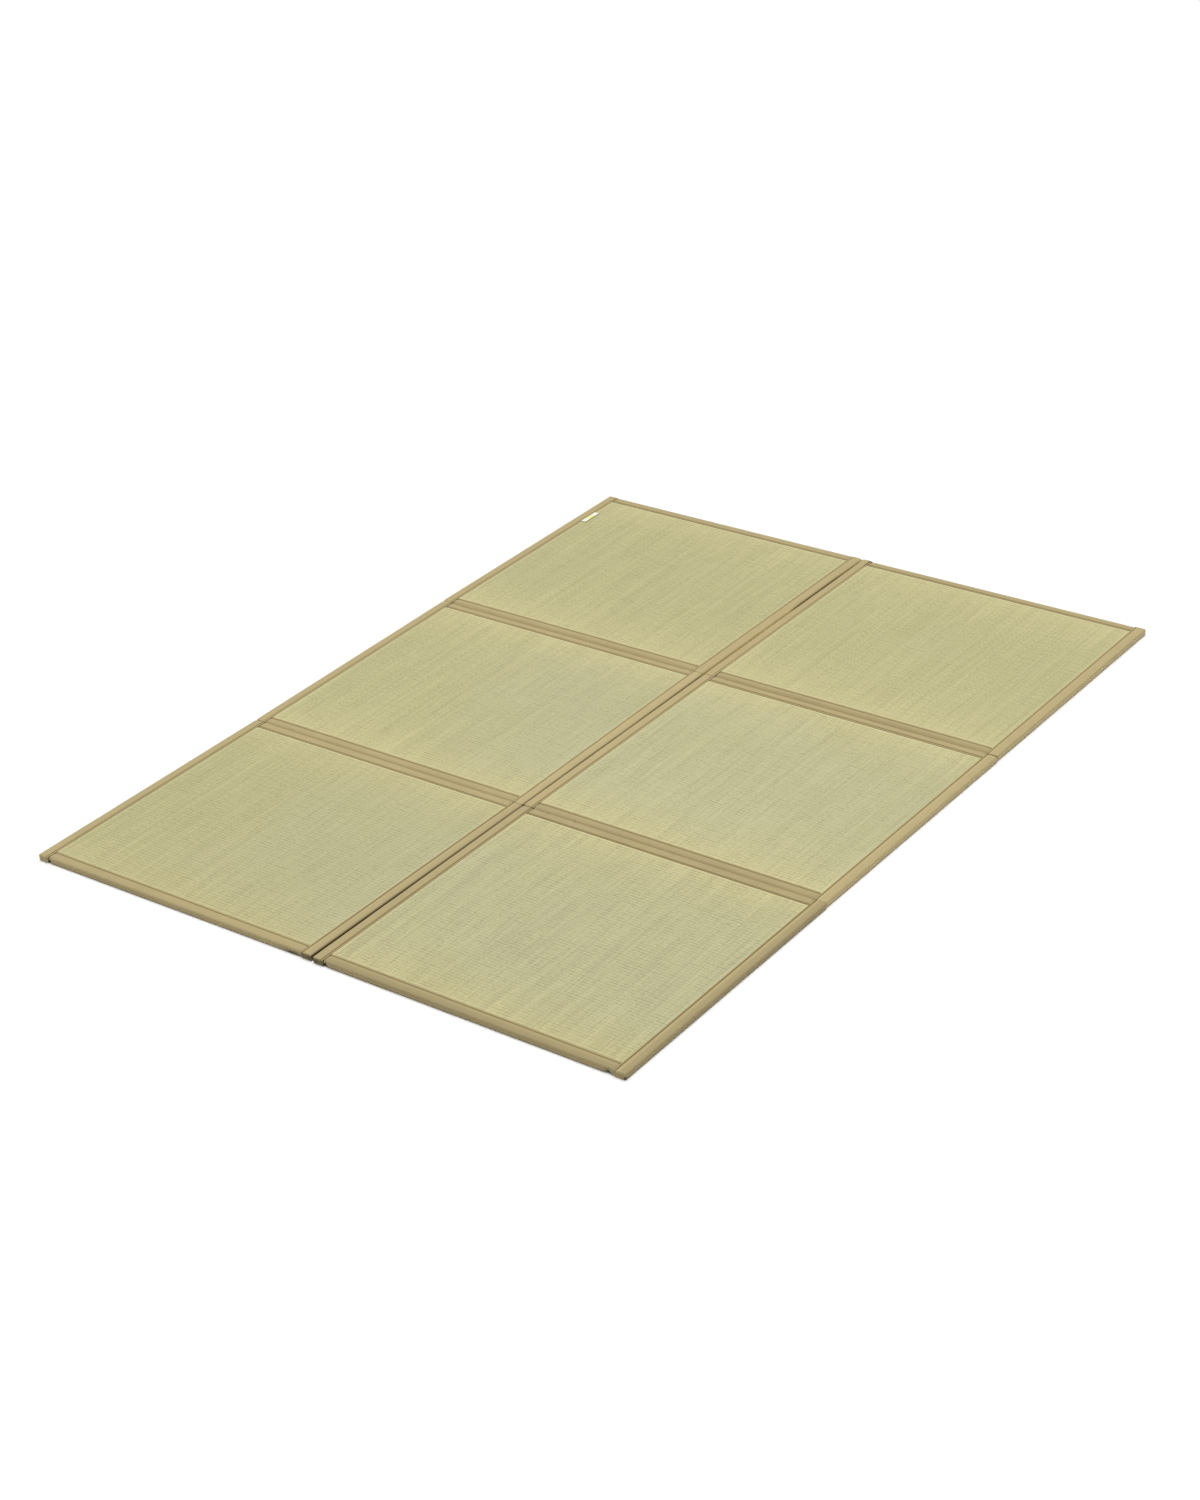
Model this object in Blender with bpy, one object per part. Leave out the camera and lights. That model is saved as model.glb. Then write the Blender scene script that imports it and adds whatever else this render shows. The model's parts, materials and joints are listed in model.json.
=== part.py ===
"""A folding rush sleeping mat, opened flat: two strips side by side, each three panels long.

Metres, +Z up. X runs across the mat and Y along it. The origin lies on the floor, under the middle
of the mat. Each panel is a stiff flat pad with a woven rush face. Its long sides are bound in folded
cloth tape, its free short end in the same tape, and neighbouring panels of a strip share one hinge
band, whose two layers are sewn together in the groove between them.
"""
import math

import bmesh
import bpy
from mathutils import Vector

# Driving sizes
STRIP_WIDTH = 0.800
PANEL_LENGTH = 0.700
STRIP_PITCH = 0.803
THICKNESS = 0.0148
TAPE_WIDTH = 0.028
CLOTH = 0.0012
SEAT = 0.0003
EDGE_RADIUS = 0.0045
LOWER_RADIUS = 0.0030

# What follows from them
LAYER = CLOTH + SEAT
HALF_WIDTH = STRIP_WIDTH / 2
HALF_LENGTH = PANEL_LENGTH / 2
RUSH_TOP = THICKNESS - 0.0006
PAD_RADIUS = EDGE_RADIUS - LAYER
PAD_LOWER_RADIUS = LOWER_RADIUS - LAYER

# Where the face is pressed down under a tape: fully at the tape, easing back beyond it
PRESS_START = TAPE_WIDTH + 0.0008
PRESS_END = TAPE_WIDTH + 0.0040

# The hinge groove: how far each side of the joint it reaches, where its sides bend, and its sewn middle
GROOVE_REACH = 0.011
GROOVE_BENDS = (0.0045, 0.0075)
SEWN_HALF = 0.0006
PAD_SHORT = 0.0030
GROOVE_UNDER = 0.0020
TAPE_FOLLOW = 0.5

# The folded tape ends that close the mat's corners
END_FOLD = 0.0010
END_CHAMFER = 0.0005
END_TUCK = EDGE_RADIUS + 0.0005
END_STRAIGHT = 0.05

# The plain label at the far left corner: its size, and how far it lies from the mat's far end
LABEL_LENGTH = 0.060
LABEL_WIDTH = 0.014
LABEL_THICKNESS = 0.0010
LABEL_FROM_END = 0.102

# How finely the round edges are cut, and how far a cutter runs past what it cuts
ARC_STEPS = 3
CUT_PAST = 0.005
MM = 0.001

# How each panel lies. slide: to the right of its even place, mm. lean: its far end to the right, mrad.
PANELS = (
    # strip, row, slide, lean
    ("left", "far", -2.2, 2.8),
    ("left", "mid", 0.4, -5.5),
    ("left", "near", 0.2, 8.1),
    ("right", "far", -0.2, 0.9),
    ("right", "mid", 0.3, 1.9),
    ("right", "near", 0.4, 2.2),
)

# The cross lines that bound the panels. shift: away from the near end, mm. tilt: right end up, mrad.
CROSS_LINES = (
    # strip, line, shift, tilt
    ("left", "far_end", 0.4, -3.4),
    ("left", "far_joint", 0.0, -1.8),
    ("left", "near_joint", -0.4, 2.7),
    ("left", "near_end", 0.6, 4.5),
    ("right", "far_end", -2.0, -2.7),
    ("right", "far_joint", 0.3, -2.9),
    ("right", "near_joint", 0.7, -1.5),
    ("right", "near_end", 0.3, 0.0),
)
LINE_PLACES = {"far_end": 1.5, "far_joint": 0.5, "near_joint": -0.5, "near_end": -1.5}
ROW_LINES = {
    "far": ("far_end", "far_joint"),
    "mid": ("far_joint", "near_joint"),
    "near": ("near_joint", "near_end"),
}

# The joints across the strips, and how deep the groove in the top face is there
JOINT_GROOVES = {"far_joint": 0.0040, "near_joint": 0.0026}
JOINT_ROWS = {"far_joint": ("far", "mid"), "near_joint": ("mid", "near")}

# Colours as seen, 0 to 255
RUSH_COLOUR = (194, 187, 142)
TAPE_COLOUR = (184, 167, 123)
LABEL_COLOUR = (240, 240, 215)


def linear(colour):
    """Blender's linear value of a colour given as seen, 0 to 255."""
    levels = []
    for level in colour:
        share = level / 255
        levels.append(share / 12.92 if share <= 0.04045 else ((share + 0.055) / 1.055) ** 2.4)
    return (*levels, 1.0)


def make_material(name, colour, roughness):
    material = bpy.data.materials.new(name)
    material.use_nodes = True
    shader = material.node_tree.nodes["Principled BSDF"]
    shader.inputs["Base Color"].default_value = linear(colour)
    shader.inputs["Roughness"].default_value = roughness
    shader.inputs["Metallic"].default_value = 0.0
    material.diffuse_color = linear(colour)
    return material


def line_point(strip, line, side):
    """The end of a cross line at a strip's left (-1) or right (+1) side: its place along Y."""
    shift, tilt = next(row[2:] for row in CROSS_LINES if row[:2] == (strip, line))
    return LINE_PLACES[line] * PANEL_LENGTH + shift * MM + side * HALF_WIDTH * tilt * MM


class Panel:
    """One panel's place: turns (u, v) measured from its middle into a point of the mat."""

    def __init__(self, strip, row, slide, lean):
        self.strip = strip
        self.row = row
        self.name = f"{strip}_{row}"
        self.far_line, self.near_line = ROW_LINES[row]
        hand = -1 if strip == "left" else 1
        self.middle = hand * STRIP_PITCH / 2 + slide * MM
        self.lean = lean * MM
        self.far = [line_point(strip, self.far_line, side) for side in (-1, 1)]
        self.near = [line_point(strip, self.near_line, side) for side in (-1, 1)]

    def point(self, u, v, z):
        across = 0.5 + u / STRIP_WIDTH
        along = 0.5 + v / PANEL_LENGTH
        far_y = self.far[0] * (1 - across) + self.far[1] * across
        near_y = self.near[0] * (1 - across) + self.near[1] * across
        return Vector((self.middle + u + v * self.lean, near_y * (1 - along) + far_y * along, z))

    def end_line(self, end):
        """The cross line at the far (+1) or near (-1) end."""
        return self.far_line if end > 0 else self.near_line


def groove(distance, depth):
    """How far the face drops at a distance from the middle of a hinge."""
    if distance >= GROOVE_REACH:
        return 0.0
    return depth * (1 - distance / GROOVE_REACH) ** 2


def round_drop(distance, radius):
    """How far a rounded edge has dropped at a distance in from it."""
    if distance >= radius:
        return 0.0
    return radius - (radius ** 2 - (radius - distance) ** 2) ** 0.5


def pressed(distance):
    """1 under a tape, 0 in the open face, for a distance in from the panel's edge."""
    return min(1.0, max(0.0, (PRESS_END - distance) / (PRESS_END - PRESS_START)))


def side_stations():
    """Distances in from a panel's long side at which a pad's height changes."""
    return (LAYER, LAYER + PAD_LOWER_RADIUS / 2, LAYER + PAD_RADIUS, PRESS_START, PRESS_END)


def end_stations(line):
    """Distances in from a panel's short end, where that end is the given cross line."""
    if line in JOINT_GROOVES:
        return (PAD_SHORT, *GROOVE_BENDS, GROOVE_REACH, PRESS_START, PRESS_END)
    return side_stations()


def both_ways(first, second, half):
    """Stations from -half to +half, given the distances in from each end."""
    low = [-half + distance for distance in first]
    high = [half - distance for distance in reversed(second)]
    return low + high


def new_object(name, work, material, centre):
    """Turns a bmesh built in the mat's frame into an object whose origin is at centre."""
    bmesh.ops.recalc_face_normals(work, faces=work.faces)
    bmesh.ops.translate(work, verts=work.verts, vec=-centre)
    mesh = bpy.data.meshes.new(name)
    work.to_mesh(mesh)
    work.free()
    mesh.materials.append(material)
    thing = bpy.data.objects.new(name, mesh)
    thing.location = centre
    bpy.context.collection.objects.link(thing)
    return thing


def loft(name, rings, material, centre):
    """A solid through closed rings of equal count, capped at both ends."""
    work = bmesh.new()
    loops = [[work.verts.new(point) for point in ring] for ring in rings]
    for first, second in zip(loops, loops[1:]):
        for index in range(len(first)):
            after = (index + 1) % len(first)
            work.faces.new((first[index], first[after], second[after], second[index]))
    work.faces.new(loops[0])
    work.faces.new(loops[-1])
    return new_object(name, work, material, centre)


def make_pad(panel, material):
    """A panel's stiff pad with its rush face: flat in the open, lower under tape, round at its edges."""
    def end_drop(distance, line, depth, radius):
        if line in JOINT_GROOVES:
            return groove(distance, depth)
        return round_drop(distance - LAYER, radius)

    def heights(u, v):
        side = HALF_WIDTH - abs(u)
        far = HALF_LENGTH - v
        near = HALF_LENGTH + v
        end = min(far, near)
        line = panel.far_line if far < near else panel.near_line
        sunk_side = pressed(side)
        sunk_end = pressed(end)
        covers = max(sunk_side, sunk_end)
        double = sunk_side * sunk_end
        drop_top = max(round_drop(side - LAYER, PAD_RADIUS),
                       end_drop(end, line, JOINT_GROOVES.get(line, 0.0), PAD_RADIUS))
        drop_under = max(round_drop(side - LAYER, PAD_LOWER_RADIUS),
                         end_drop(end, line, GROOVE_UNDER, PAD_LOWER_RADIUS))
        top = RUSH_TOP - (RUSH_TOP - THICKNESS + LAYER) * covers - LAYER * double - drop_top
        under = LAYER * covers + LAYER * double + drop_under
        return top, under

    across = both_ways(side_stations(), side_stations(), HALF_WIDTH)
    along = both_ways(end_stations(panel.near_line), end_stations(panel.far_line), HALF_LENGTH)
    work = bmesh.new()
    top = {}
    under = {}
    for i, u in enumerate(across):
        for j, v in enumerate(along):
            high, low = heights(u, v)
            top[i, j] = work.verts.new(panel.point(u, v, high))
            under[i, j] = work.verts.new(panel.point(u, v, low))
    for i in range(len(across) - 1):
        for j in range(len(along) - 1):
            corners = ((i, j), (i + 1, j), (i + 1, j + 1), (i, j + 1))
            work.faces.new([top[corner] for corner in corners])
            work.faces.new([under[corner] for corner in reversed(corners)])
    last_i = len(across) - 1
    last_j = len(along) - 1
    rim = [(i, 0) for i in range(last_i)] + [(last_i, j) for j in range(last_j)]
    rim += [(i, last_j) for i in range(last_i, 0, -1)] + [(0, j) for j in range(last_j, 0, -1)]
    for first, second in zip(rim, rim[1:] + rim[:1]):
        work.faces.new((top[first], under[first], under[second], top[second]))
    return new_object(f"rush_{panel.name}", work, material, panel.point(0, 0, 0))


def round_edge(high, low, inset, wall):
    """The rounded outer edge of folded tape, top to bottom: (distance in from the edge, height) points.

    wall is 0 for the tape's outer face and the cloth's thickness for its inner one.
    """
    points = []
    upper = EDGE_RADIUS - wall
    lower = LOWER_RADIUS - wall
    for radius, centre_height, start in ((upper, high - upper, 90), (lower, low + lower, 180)):
        for step in range(ARC_STEPS + 1):
            angle = math.radians(start + 90 * step / ARC_STEPS)
            across = inset + radius + radius * math.cos(angle)
            points.append((across, centre_height + radius * math.sin(angle)))
    return points


def make_side_tape(panel, side, material):
    """The folded tape along a long side: a channel round the pad's edge, closed by a fold at a free end."""
    def ends(v):
        """Top and underside heights of the tape at v, following the hinge groove a little."""
        far = HALF_LENGTH - v
        near = HALF_LENGTH + v
        line = panel.far_line if far < near else panel.near_line
        if line not in JOINT_GROOVES:
            return 0.0, THICKNESS
        distance = max(0.0, min(far, near))
        low = TAPE_FOLLOW * groove(distance, GROOVE_UNDER)
        return low, THICKNESS - TAPE_FOLLOW * groove(distance, JOINT_GROOVES[line])

    def stations(line):
        if line in JOINT_GROOVES:
            return (SEAT, PAD_SHORT, *GROOVE_BENDS, GROOVE_REACH)
        return (-SEAT - END_FOLD, -SEAT - END_FOLD + END_CHAMFER, END_STRAIGHT)

    def bar(name, wall, along, open_to):
        """A solid bar with the tape's rounded outer edge, later hollowed by a second, smaller one."""
        rings = []
        for v in along:
            low, high = ends(v)
            inset = END_CHAMFER if wall == 0.0 and abs(v) > HALF_LENGTH + END_FOLD else 0.0
            top = high - wall - inset
            foot = low + wall + inset
            ring = round_edge(top, foot, wall + inset, wall)
            ring += [(open_to - inset, foot), (open_to - inset, top)]
            rings.append([panel.point(side * (HALF_WIDTH - depth), v, z) for depth, z in ring])
        return loft(name, rings, material, panel.point(side * HALF_WIDTH, 0, 0))

    place = "inner" if (side > 0) == (panel.strip == "left") else "outer"
    along = both_ways(stations(panel.near_line), stations(panel.far_line), HALF_LENGTH)
    tape = bar(f"tape_{place}_{panel.name}", 0.0, along, TAPE_WIDTH)

    hollow_along = [v for v in along if abs(v) < HALF_LENGTH - SEAT]
    for line, sign in ((panel.near_line, -1), (panel.far_line, 1)):
        reach = CUT_PAST if line in JOINT_GROOVES else SEAT
        hollow_along.insert(0 if sign < 0 else len(hollow_along), sign * (HALF_LENGTH + reach))
    hollow = bar(f"hollow_{place}_{panel.name}", CLOTH, hollow_along, TAPE_WIDTH + CUT_PAST)
    hollow.hide_render = True
    hollow.display_type = "WIRE"
    cut = tape.modifiers.new("hollow", "BOOLEAN")
    cut.operation = "DIFFERENCE"
    cut.solver = "EXACT"
    cut.object = hollow
    return tape, hollow


def crossing_stations():
    """Places across a strip for what runs under both side tapes: it dips to pass below them."""
    return both_ways((END_TUCK, PRESS_START, PRESS_END), (END_TUCK, PRESS_START, PRESS_END), HALF_WIDTH)


def make_end_tape(panel, end, material):
    """The folded tape on a free short end, its ends tucked below the side tapes."""
    rings = []
    for u in crossing_stations():
        dip = LAYER * pressed(HALF_WIDTH - abs(u))
        high = THICKNESS - dip
        ring = [(TAPE_WIDTH, high)] + round_edge(high, dip, 0.0, 0.0) + [(TAPE_WIDTH, dip)]
        inner = round_edge(high - CLOTH, dip + CLOTH, CLOTH, CLOTH)
        ring += [(TAPE_WIDTH, dip + CLOTH)] + inner[::-1] + [(TAPE_WIDTH, high - CLOTH)]
        rings.append([panel.point(u, end * (HALF_LENGTH - depth), z) for depth, z in ring])
    return loft(f"tape_end_{panel.name}", rings, material, panel.point(0, end * HALF_LENGTH, 0))


def make_hinge(name, far_panel, near_panel, depth, material):
    """The band between two panels: an upper and a lower cloth, sewn together in the groove."""
    spread = (SEWN_HALF, PAD_SHORT, *GROOVE_BENDS, GROOVE_REACH, TAPE_WIDTH)

    def place(u, distance, z):
        """A point at a signed distance from the joint, + on the far panel and - on the near one."""
        far = far_panel.point(u, -HALF_LENGTH + max(distance, 0.0), z)
        near = near_panel.point(u, HALF_LENGTH + min(distance, 0.0), z)
        if distance > 0:
            return far
        if distance < 0:
            return near
        return (far + near) / 2

    rings = []
    for u in crossing_stations():
        dip = LAYER * pressed(HALF_WIDTH - abs(u))

        def upper(distance):
            return THICKNESS - dip - groove(abs(distance), depth)

        def lower(distance):
            return dip + groove(abs(distance), GROOVE_UNDER)

        outward = [-distance for distance in reversed(spread)] + [0.0] + list(spread)
        ring = [(distance, upper(distance)) for distance in outward]
        ring += [(distance, upper(distance) - CLOTH) for distance in reversed(spread)]
        ring += [(distance, lower(distance) + CLOTH) for distance in spread]
        ring += [(distance, lower(distance)) for distance in reversed(outward)]
        ring += [(-distance, lower(distance) + CLOTH) for distance in reversed(spread)]
        ring += [(-distance, upper(distance) - CLOTH) for distance in spread]
        rings.append([place(u, distance, z) for distance, z in ring])
    return loft(name, rings, material, place(0.0, 0.0, 0.0))


def make_label(panel, material):
    """The small plain label that lies on the rush along the tape's inner edge."""
    start = -HALF_WIDTH + TAPE_WIDTH + SEAT
    far = HALF_LENGTH - LABEL_FROM_END
    low = RUSH_TOP + SEAT
    rings = []
    for v in (far - LABEL_LENGTH, far):
        outline = ((start, low), (start + LABEL_WIDTH, low), (start + LABEL_WIDTH, low + LABEL_THICKNESS),
                   (start, low + LABEL_THICKNESS))
        rings.append([panel.point(u, v, z) for u, z in outline])
    return loft("label", rings, material, panel.point(start + LABEL_WIDTH / 2, far - LABEL_LENGTH / 2, low))


def world_bounds(things):
    """Lowest and highest corner of the things' evaluated meshes."""
    points = []
    graph = bpy.context.evaluated_depsgraph_get()
    for thing in things:
        shown = thing.evaluated_get(graph)
        points += [shown.matrix_world @ vertex.co for vertex in shown.data.vertices]
    low = Vector([min(point[axis] for point in points) for axis in range(3)])
    high = Vector([max(point[axis] for point in points) for axis in range(3)])
    return low, high


def build():
    for thing in list(bpy.data.objects):
        bpy.data.objects.remove(thing)
    rush = make_material("rush", RUSH_COLOUR, 0.55)
    tape = make_material("tape", TAPE_COLOUR, 0.75)
    plain = make_material("label", LABEL_COLOUR, 0.6)

    panels = {(row[0], row[1]): Panel(*row) for row in PANELS}
    solids = []
    guides = []
    for panel in panels.values():
        solids.append(make_pad(panel, rush))
        for side in (-1, 1):
            side_tape, hollow = make_side_tape(panel, side, tape)
            solids.append(side_tape)
            guides.append(hollow)
        for end in (1, -1):
            if panel.end_line(end) not in JOINT_GROOVES:
                solids.append(make_end_tape(panel, end, tape))
    for line, (far_row, near_row) in JOINT_ROWS.items():
        place = line.removesuffix("_joint")
        for strip in ("left", "right"):
            solids.append(make_hinge(f"hinge_{place}_{strip}", panels[strip, far_row],
                                     panels[strip, near_row], JOINT_GROOVES[line], tape))
    solids.append(make_label(panels["left", "far"], plain))

    mat = bpy.data.objects.new("mat", None)
    bpy.context.collection.objects.link(mat)
    bpy.context.view_layer.update()
    low, high = world_bounds(solids)
    for thing in solids + guides:
        thing.parent = mat
    mat.location = (-(low.x + high.x) / 2, -(low.y + high.y) / 2, -low.z)
    bpy.context.view_layer.update()
    print("size", [round(value, 4) for value in high - low])
    print("moved", [round(value, 5) for value in mat.location])


build()
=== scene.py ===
# %% [markdown]
# A folding rush mat, opened flat. The real one is six stiff pads with a woven rush face, bound in plain
# cotton tape. Three pads in a row make a strip, two strips lie side by side, and a band of the same tape is
# sewn across each joint so that the strip folds there.
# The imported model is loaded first. Every piece made below lies where its solid lies, so nothing is fitted.

# %% Load the frame
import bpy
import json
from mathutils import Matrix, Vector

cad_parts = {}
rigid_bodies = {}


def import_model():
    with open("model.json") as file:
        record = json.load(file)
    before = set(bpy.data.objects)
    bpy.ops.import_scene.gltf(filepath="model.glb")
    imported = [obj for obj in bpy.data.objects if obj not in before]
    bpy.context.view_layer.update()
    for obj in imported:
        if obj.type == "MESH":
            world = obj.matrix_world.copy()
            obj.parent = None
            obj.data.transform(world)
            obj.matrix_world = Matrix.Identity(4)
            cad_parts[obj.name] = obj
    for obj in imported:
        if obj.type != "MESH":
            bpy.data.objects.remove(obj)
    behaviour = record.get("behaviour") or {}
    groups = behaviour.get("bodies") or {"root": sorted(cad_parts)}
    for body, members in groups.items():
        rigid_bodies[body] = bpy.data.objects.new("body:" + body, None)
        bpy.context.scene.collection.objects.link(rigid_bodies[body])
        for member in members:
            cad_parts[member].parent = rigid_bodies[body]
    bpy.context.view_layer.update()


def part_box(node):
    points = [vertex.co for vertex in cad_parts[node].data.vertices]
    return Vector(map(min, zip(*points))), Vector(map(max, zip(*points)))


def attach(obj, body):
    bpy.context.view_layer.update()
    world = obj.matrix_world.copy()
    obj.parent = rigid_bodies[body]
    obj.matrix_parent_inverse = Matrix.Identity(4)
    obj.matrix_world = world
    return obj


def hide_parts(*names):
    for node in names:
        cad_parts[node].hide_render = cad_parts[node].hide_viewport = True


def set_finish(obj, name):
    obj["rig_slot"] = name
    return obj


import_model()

import json
import math

import bmesh
import bpy
from mathutils import Matrix, Vector, noise

# %% [markdown]
# A few driving sizes, in metres as the scene is, settle the whole mat. The small numbers in the tables are in
# millimetres, which are easier to read.

# %% Driving sizes
MM = 0.001
STRIP_WIDTH = 0.800
PANEL_LENGTH = 0.700
STRIP_PITCH = 0.803
THICKNESS = 0.0148
TAPE_WIDTH = 0.028
CLOTH = 0.0009

HALF_WIDTH = STRIP_WIDTH / 2
HALF_LENGTH = PANEL_LENGTH / 2
MID_HEIGHT = THICKNESS / 2
RUSH_TOP = THICKNESS - 0.0006
SEED = 7

PANELS = (
    # strip, row, how far it lies to the right of its even place, mm, how far its far end leans right, mrad
    ("left", "far", -2.2, 2.8),
    ("left", "mid", 0.4, -5.5),
    ("left", "near", 0.2, 8.1),
    ("right", "far", -0.2, 0.9),
    ("right", "mid", 0.3, 1.9),
    ("right", "near", 0.4, 2.2),
)

CROSS_LINES = (
    # strip, line that bounds panels, shift away from the near end, mm, tilt with its right end up, mrad
    ("left", "far_end", 0.4, -3.4),
    ("left", "far_joint", 0.0, -1.8),
    ("left", "near_joint", -0.4, 2.7),
    ("left", "near_end", 0.6, 4.5),
    ("right", "far_end", -2.0, -2.7),
    ("right", "far_joint", 0.3, -2.9),
    ("right", "near_joint", 0.7, -1.5),
    ("right", "near_end", 0.3, 0.0),
)
LINE_PLACES = {"far_end": 1.5, "far_joint": 0.5, "near_joint": -0.5, "near_end": -1.5}
ROW_LINES = {
    "far": ("far_end", "far_joint"),
    "mid": ("far_joint", "near_joint"),
    "near": ("near_joint", "near_end"),
}
print("a mat of", 2 * STRIP_WIDTH, "by", 3 * PANEL_LENGTH, "m,", THICKNESS / MM, "mm thick")

# %% [markdown]
# The panels were sewn by hand and guided by eye, so none is quite square to the next. Each piece is therefore
# modelled flat in its panel's own measure, u across and v along from the middle, and one function carries a
# point of that measure to its place in the mat. Every other function stays free of the small leans.


# %% A panel's own measure
class Panel:
    """One panel's place in the mat. point() turns (u, v, height) into a point of the scene."""

    def __init__(self, strip, row, slide, lean):
        self.strip = strip
        self.row = row
        self.name = f"{strip}_{row}"
        self.far_line, self.near_line = ROW_LINES[row]
        hand = -1 if strip == "left" else 1
        self.middle = hand * STRIP_PITCH / 2 + slide * MM
        self.lean = lean * MM
        self.origin = Vector((0, 0, 0))

    def line_y(self, line, u):
        """Where a cross line lies along Y, at u across the strip."""
        shift, tilt = next(row[2:] for row in CROSS_LINES if row[:2] == (self.strip, line))
        return LINE_PLACES[line] * PANEL_LENGTH + shift * MM + u * tilt * MM

    def point(self, u, v, z):
        along = 0.5 + v / PANEL_LENGTH
        y = self.line_y(self.near_line, u) * (1 - along) + self.line_y(self.far_line, u) * along
        return self.origin + Vector((self.middle + u + v * self.lean, y, z))

    def end_line(self, end):
        """The cross line at the far (+1) or near (-1) end."""
        return self.far_line if end > 0 else self.near_line

    def is_joint(self, end):
        return self.end_line(end).endswith("joint")


panels = {row[:2]: Panel(*row) for row in PANELS}

# The solids' origin is under the middle of the mat's box, a little off the middle of its plan.
label_low, label_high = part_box("label")
LABEL_FROM_SIDE = TAPE_WIDTH + 0.0003
LABEL_FROM_END = 0.102
LABEL_LENGTH = 0.060
LABEL_WIDTH = 0.014
far_left = panels["left", "far"]
label_plan = [
    far_left.point(-HALF_WIDTH + LABEL_FROM_SIDE + across, HALF_LENGTH - LABEL_FROM_END - along, 0)
    for across in (0, LABEL_WIDTH)
    for along in (0, LABEL_LENGTH)
]
mat_shift = Vector((
    (label_low.x + label_high.x) / 2 - (min(p.x for p in label_plan) + max(p.x for p in label_plan)) / 2,
    (label_low.y + label_high.y) / 2 - (min(p.y for p in label_plan) + max(p.y for p in label_plan)) / 2,
    0,
))
for panel in panels.values():
    panel.origin = mat_shift
print("the plan is moved by", [round(value / MM, 2) for value in mat_shift], "mm")

# %% [markdown]
# The photo looks down on the near right corner from about 29 degrees, slightly rolled. A long lens keeps the
# far end from shrinking much. The camera is placed from its own right, up and back directions, because a
# track constraint can't give a rolled view.

# %% Camera
CAMERA_AZIMUTH = math.radians(38.287)
CAMERA_ELEVATION = math.radians(29.450)
CAMERA_ROLL = math.radians(-4.420)
CAMERA_PLACE = Vector((3.7422, -4.6407, 3.3383))
FRAME_WIDTH = 1200
FRAME_HEIGHT = 1500
FOCAL_PIXELS = 2976.5
VIEW_CENTRE = (644.4, 750.5)
SENSOR = 36.0


def add_object(name, data):
    thing = bpy.data.objects.new(name, data)
    bpy.context.collection.objects.link(thing)
    return thing


def make_camera():
    back = Vector((
        math.sin(CAMERA_AZIMUTH) * math.cos(CAMERA_ELEVATION),
        -math.cos(CAMERA_AZIMUTH) * math.cos(CAMERA_ELEVATION),
        math.sin(CAMERA_ELEVATION),
    ))
    right = (-back).cross(Vector((0, 0, 1))).normalized()
    up = right.cross(-back)
    turned_right = right * math.cos(CAMERA_ROLL) + up * math.sin(CAMERA_ROLL)
    turned_up = up * math.cos(CAMERA_ROLL) - right * math.sin(CAMERA_ROLL)
    data = bpy.data.cameras.new("camera")
    data.sensor_width = SENSOR
    data.sensor_fit = "AUTO"
    data.lens = FOCAL_PIXELS / FRAME_HEIGHT * SENSOR
    data.shift_x = (FRAME_WIDTH / 2 - VIEW_CENTRE[0]) / FRAME_HEIGHT
    data.shift_y = (VIEW_CENTRE[1] - FRAME_HEIGHT / 2) / FRAME_HEIGHT
    data.clip_end = 50
    camera = add_object("camera", data)
    turn = Matrix((turned_right, turned_up, back)).transposed().to_4x4()
    camera.matrix_world = Matrix.Translation(CAMERA_PLACE + mat_shift) @ turn
    bpy.context.scene.camera = camera
    return camera


camera = make_camera()
print("lens", round(camera.data.lens, 2), "mm, shift", round(camera.data.shift_x, 4))

# %% [markdown]
# The light is a studio's: one large soft source overhead, a little towards the far left, and a weak even sky.
# A sun lamp with a wide angle gives it, because its light is as strong at the far end of the floor as at the
# near end. The standard view transform keeps the colours as they are set.

# %% Floor and light
FLOOR_SIZE = 30.0
FLOOR_DROP = 0.0002
SKY_STRENGTH = 0.20
LAMP_STRENGTH = 2.75
LAMP_SPREAD = math.radians(50)
LAMP_DIRECTION = Vector((0.10, -0.16, -1.0))
FLOOR_WHITE = (0.97, 0.97, 0.97, 1)
FLOOR_ROUGHNESS = 0.9


def make_floor():
    work = bmesh.new()
    bmesh.ops.create_grid(work, x_segments=2, y_segments=2, size=FLOOR_SIZE / 2)
    bmesh.ops.translate(work, verts=work.verts, vec=(0, 0, -FLOOR_DROP))
    mesh = bpy.data.meshes.new("floor")
    work.to_mesh(mesh)
    work.free()
    material = bpy.data.materials.new("floor")
    material.use_nodes = True
    shader = material.node_tree.nodes["Principled BSDF"]
    shader.inputs["Base Color"].default_value = FLOOR_WHITE
    shader.inputs["Roughness"].default_value = FLOOR_ROUGHNESS
    mesh.materials.append(material)
    return add_object("floor", mesh)


def make_lamp(name, direction, spread, strength):
    data = bpy.data.lights.new(name, "SUN")
    data.angle = spread
    data.energy = strength
    lamp = add_object(name, data)
    lamp.matrix_world = direction.to_track_quat("-Z", "Y").to_matrix().to_4x4()
    return lamp


make_floor()
make_lamp("overhead", LAMP_DIRECTION, LAMP_SPREAD, LAMP_STRENGTH)
world = bpy.data.worlds.new("studio")
world.use_nodes = True
world.node_tree.nodes["Background"].inputs["Color"].default_value = (1.0, 1.0, 1.0, 1)
world.node_tree.nodes["Background"].inputs["Strength"].default_value = SKY_STRENGTH
bpy.context.scene.world = world
bpy.context.scene.view_settings.view_transform = "Standard"
print("lit by one soft source", round(math.degrees(LAMP_SPREAD)), "degrees wide")

# %% [markdown]
# Materials are node trees. Short helpers keep them readable: a colour is given as it looks in the photo, 0 to
# 255, and turned into the linear value that the renderer wants, and each sum or product is one call, so a
# tree reads like the formula that it is.


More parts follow.
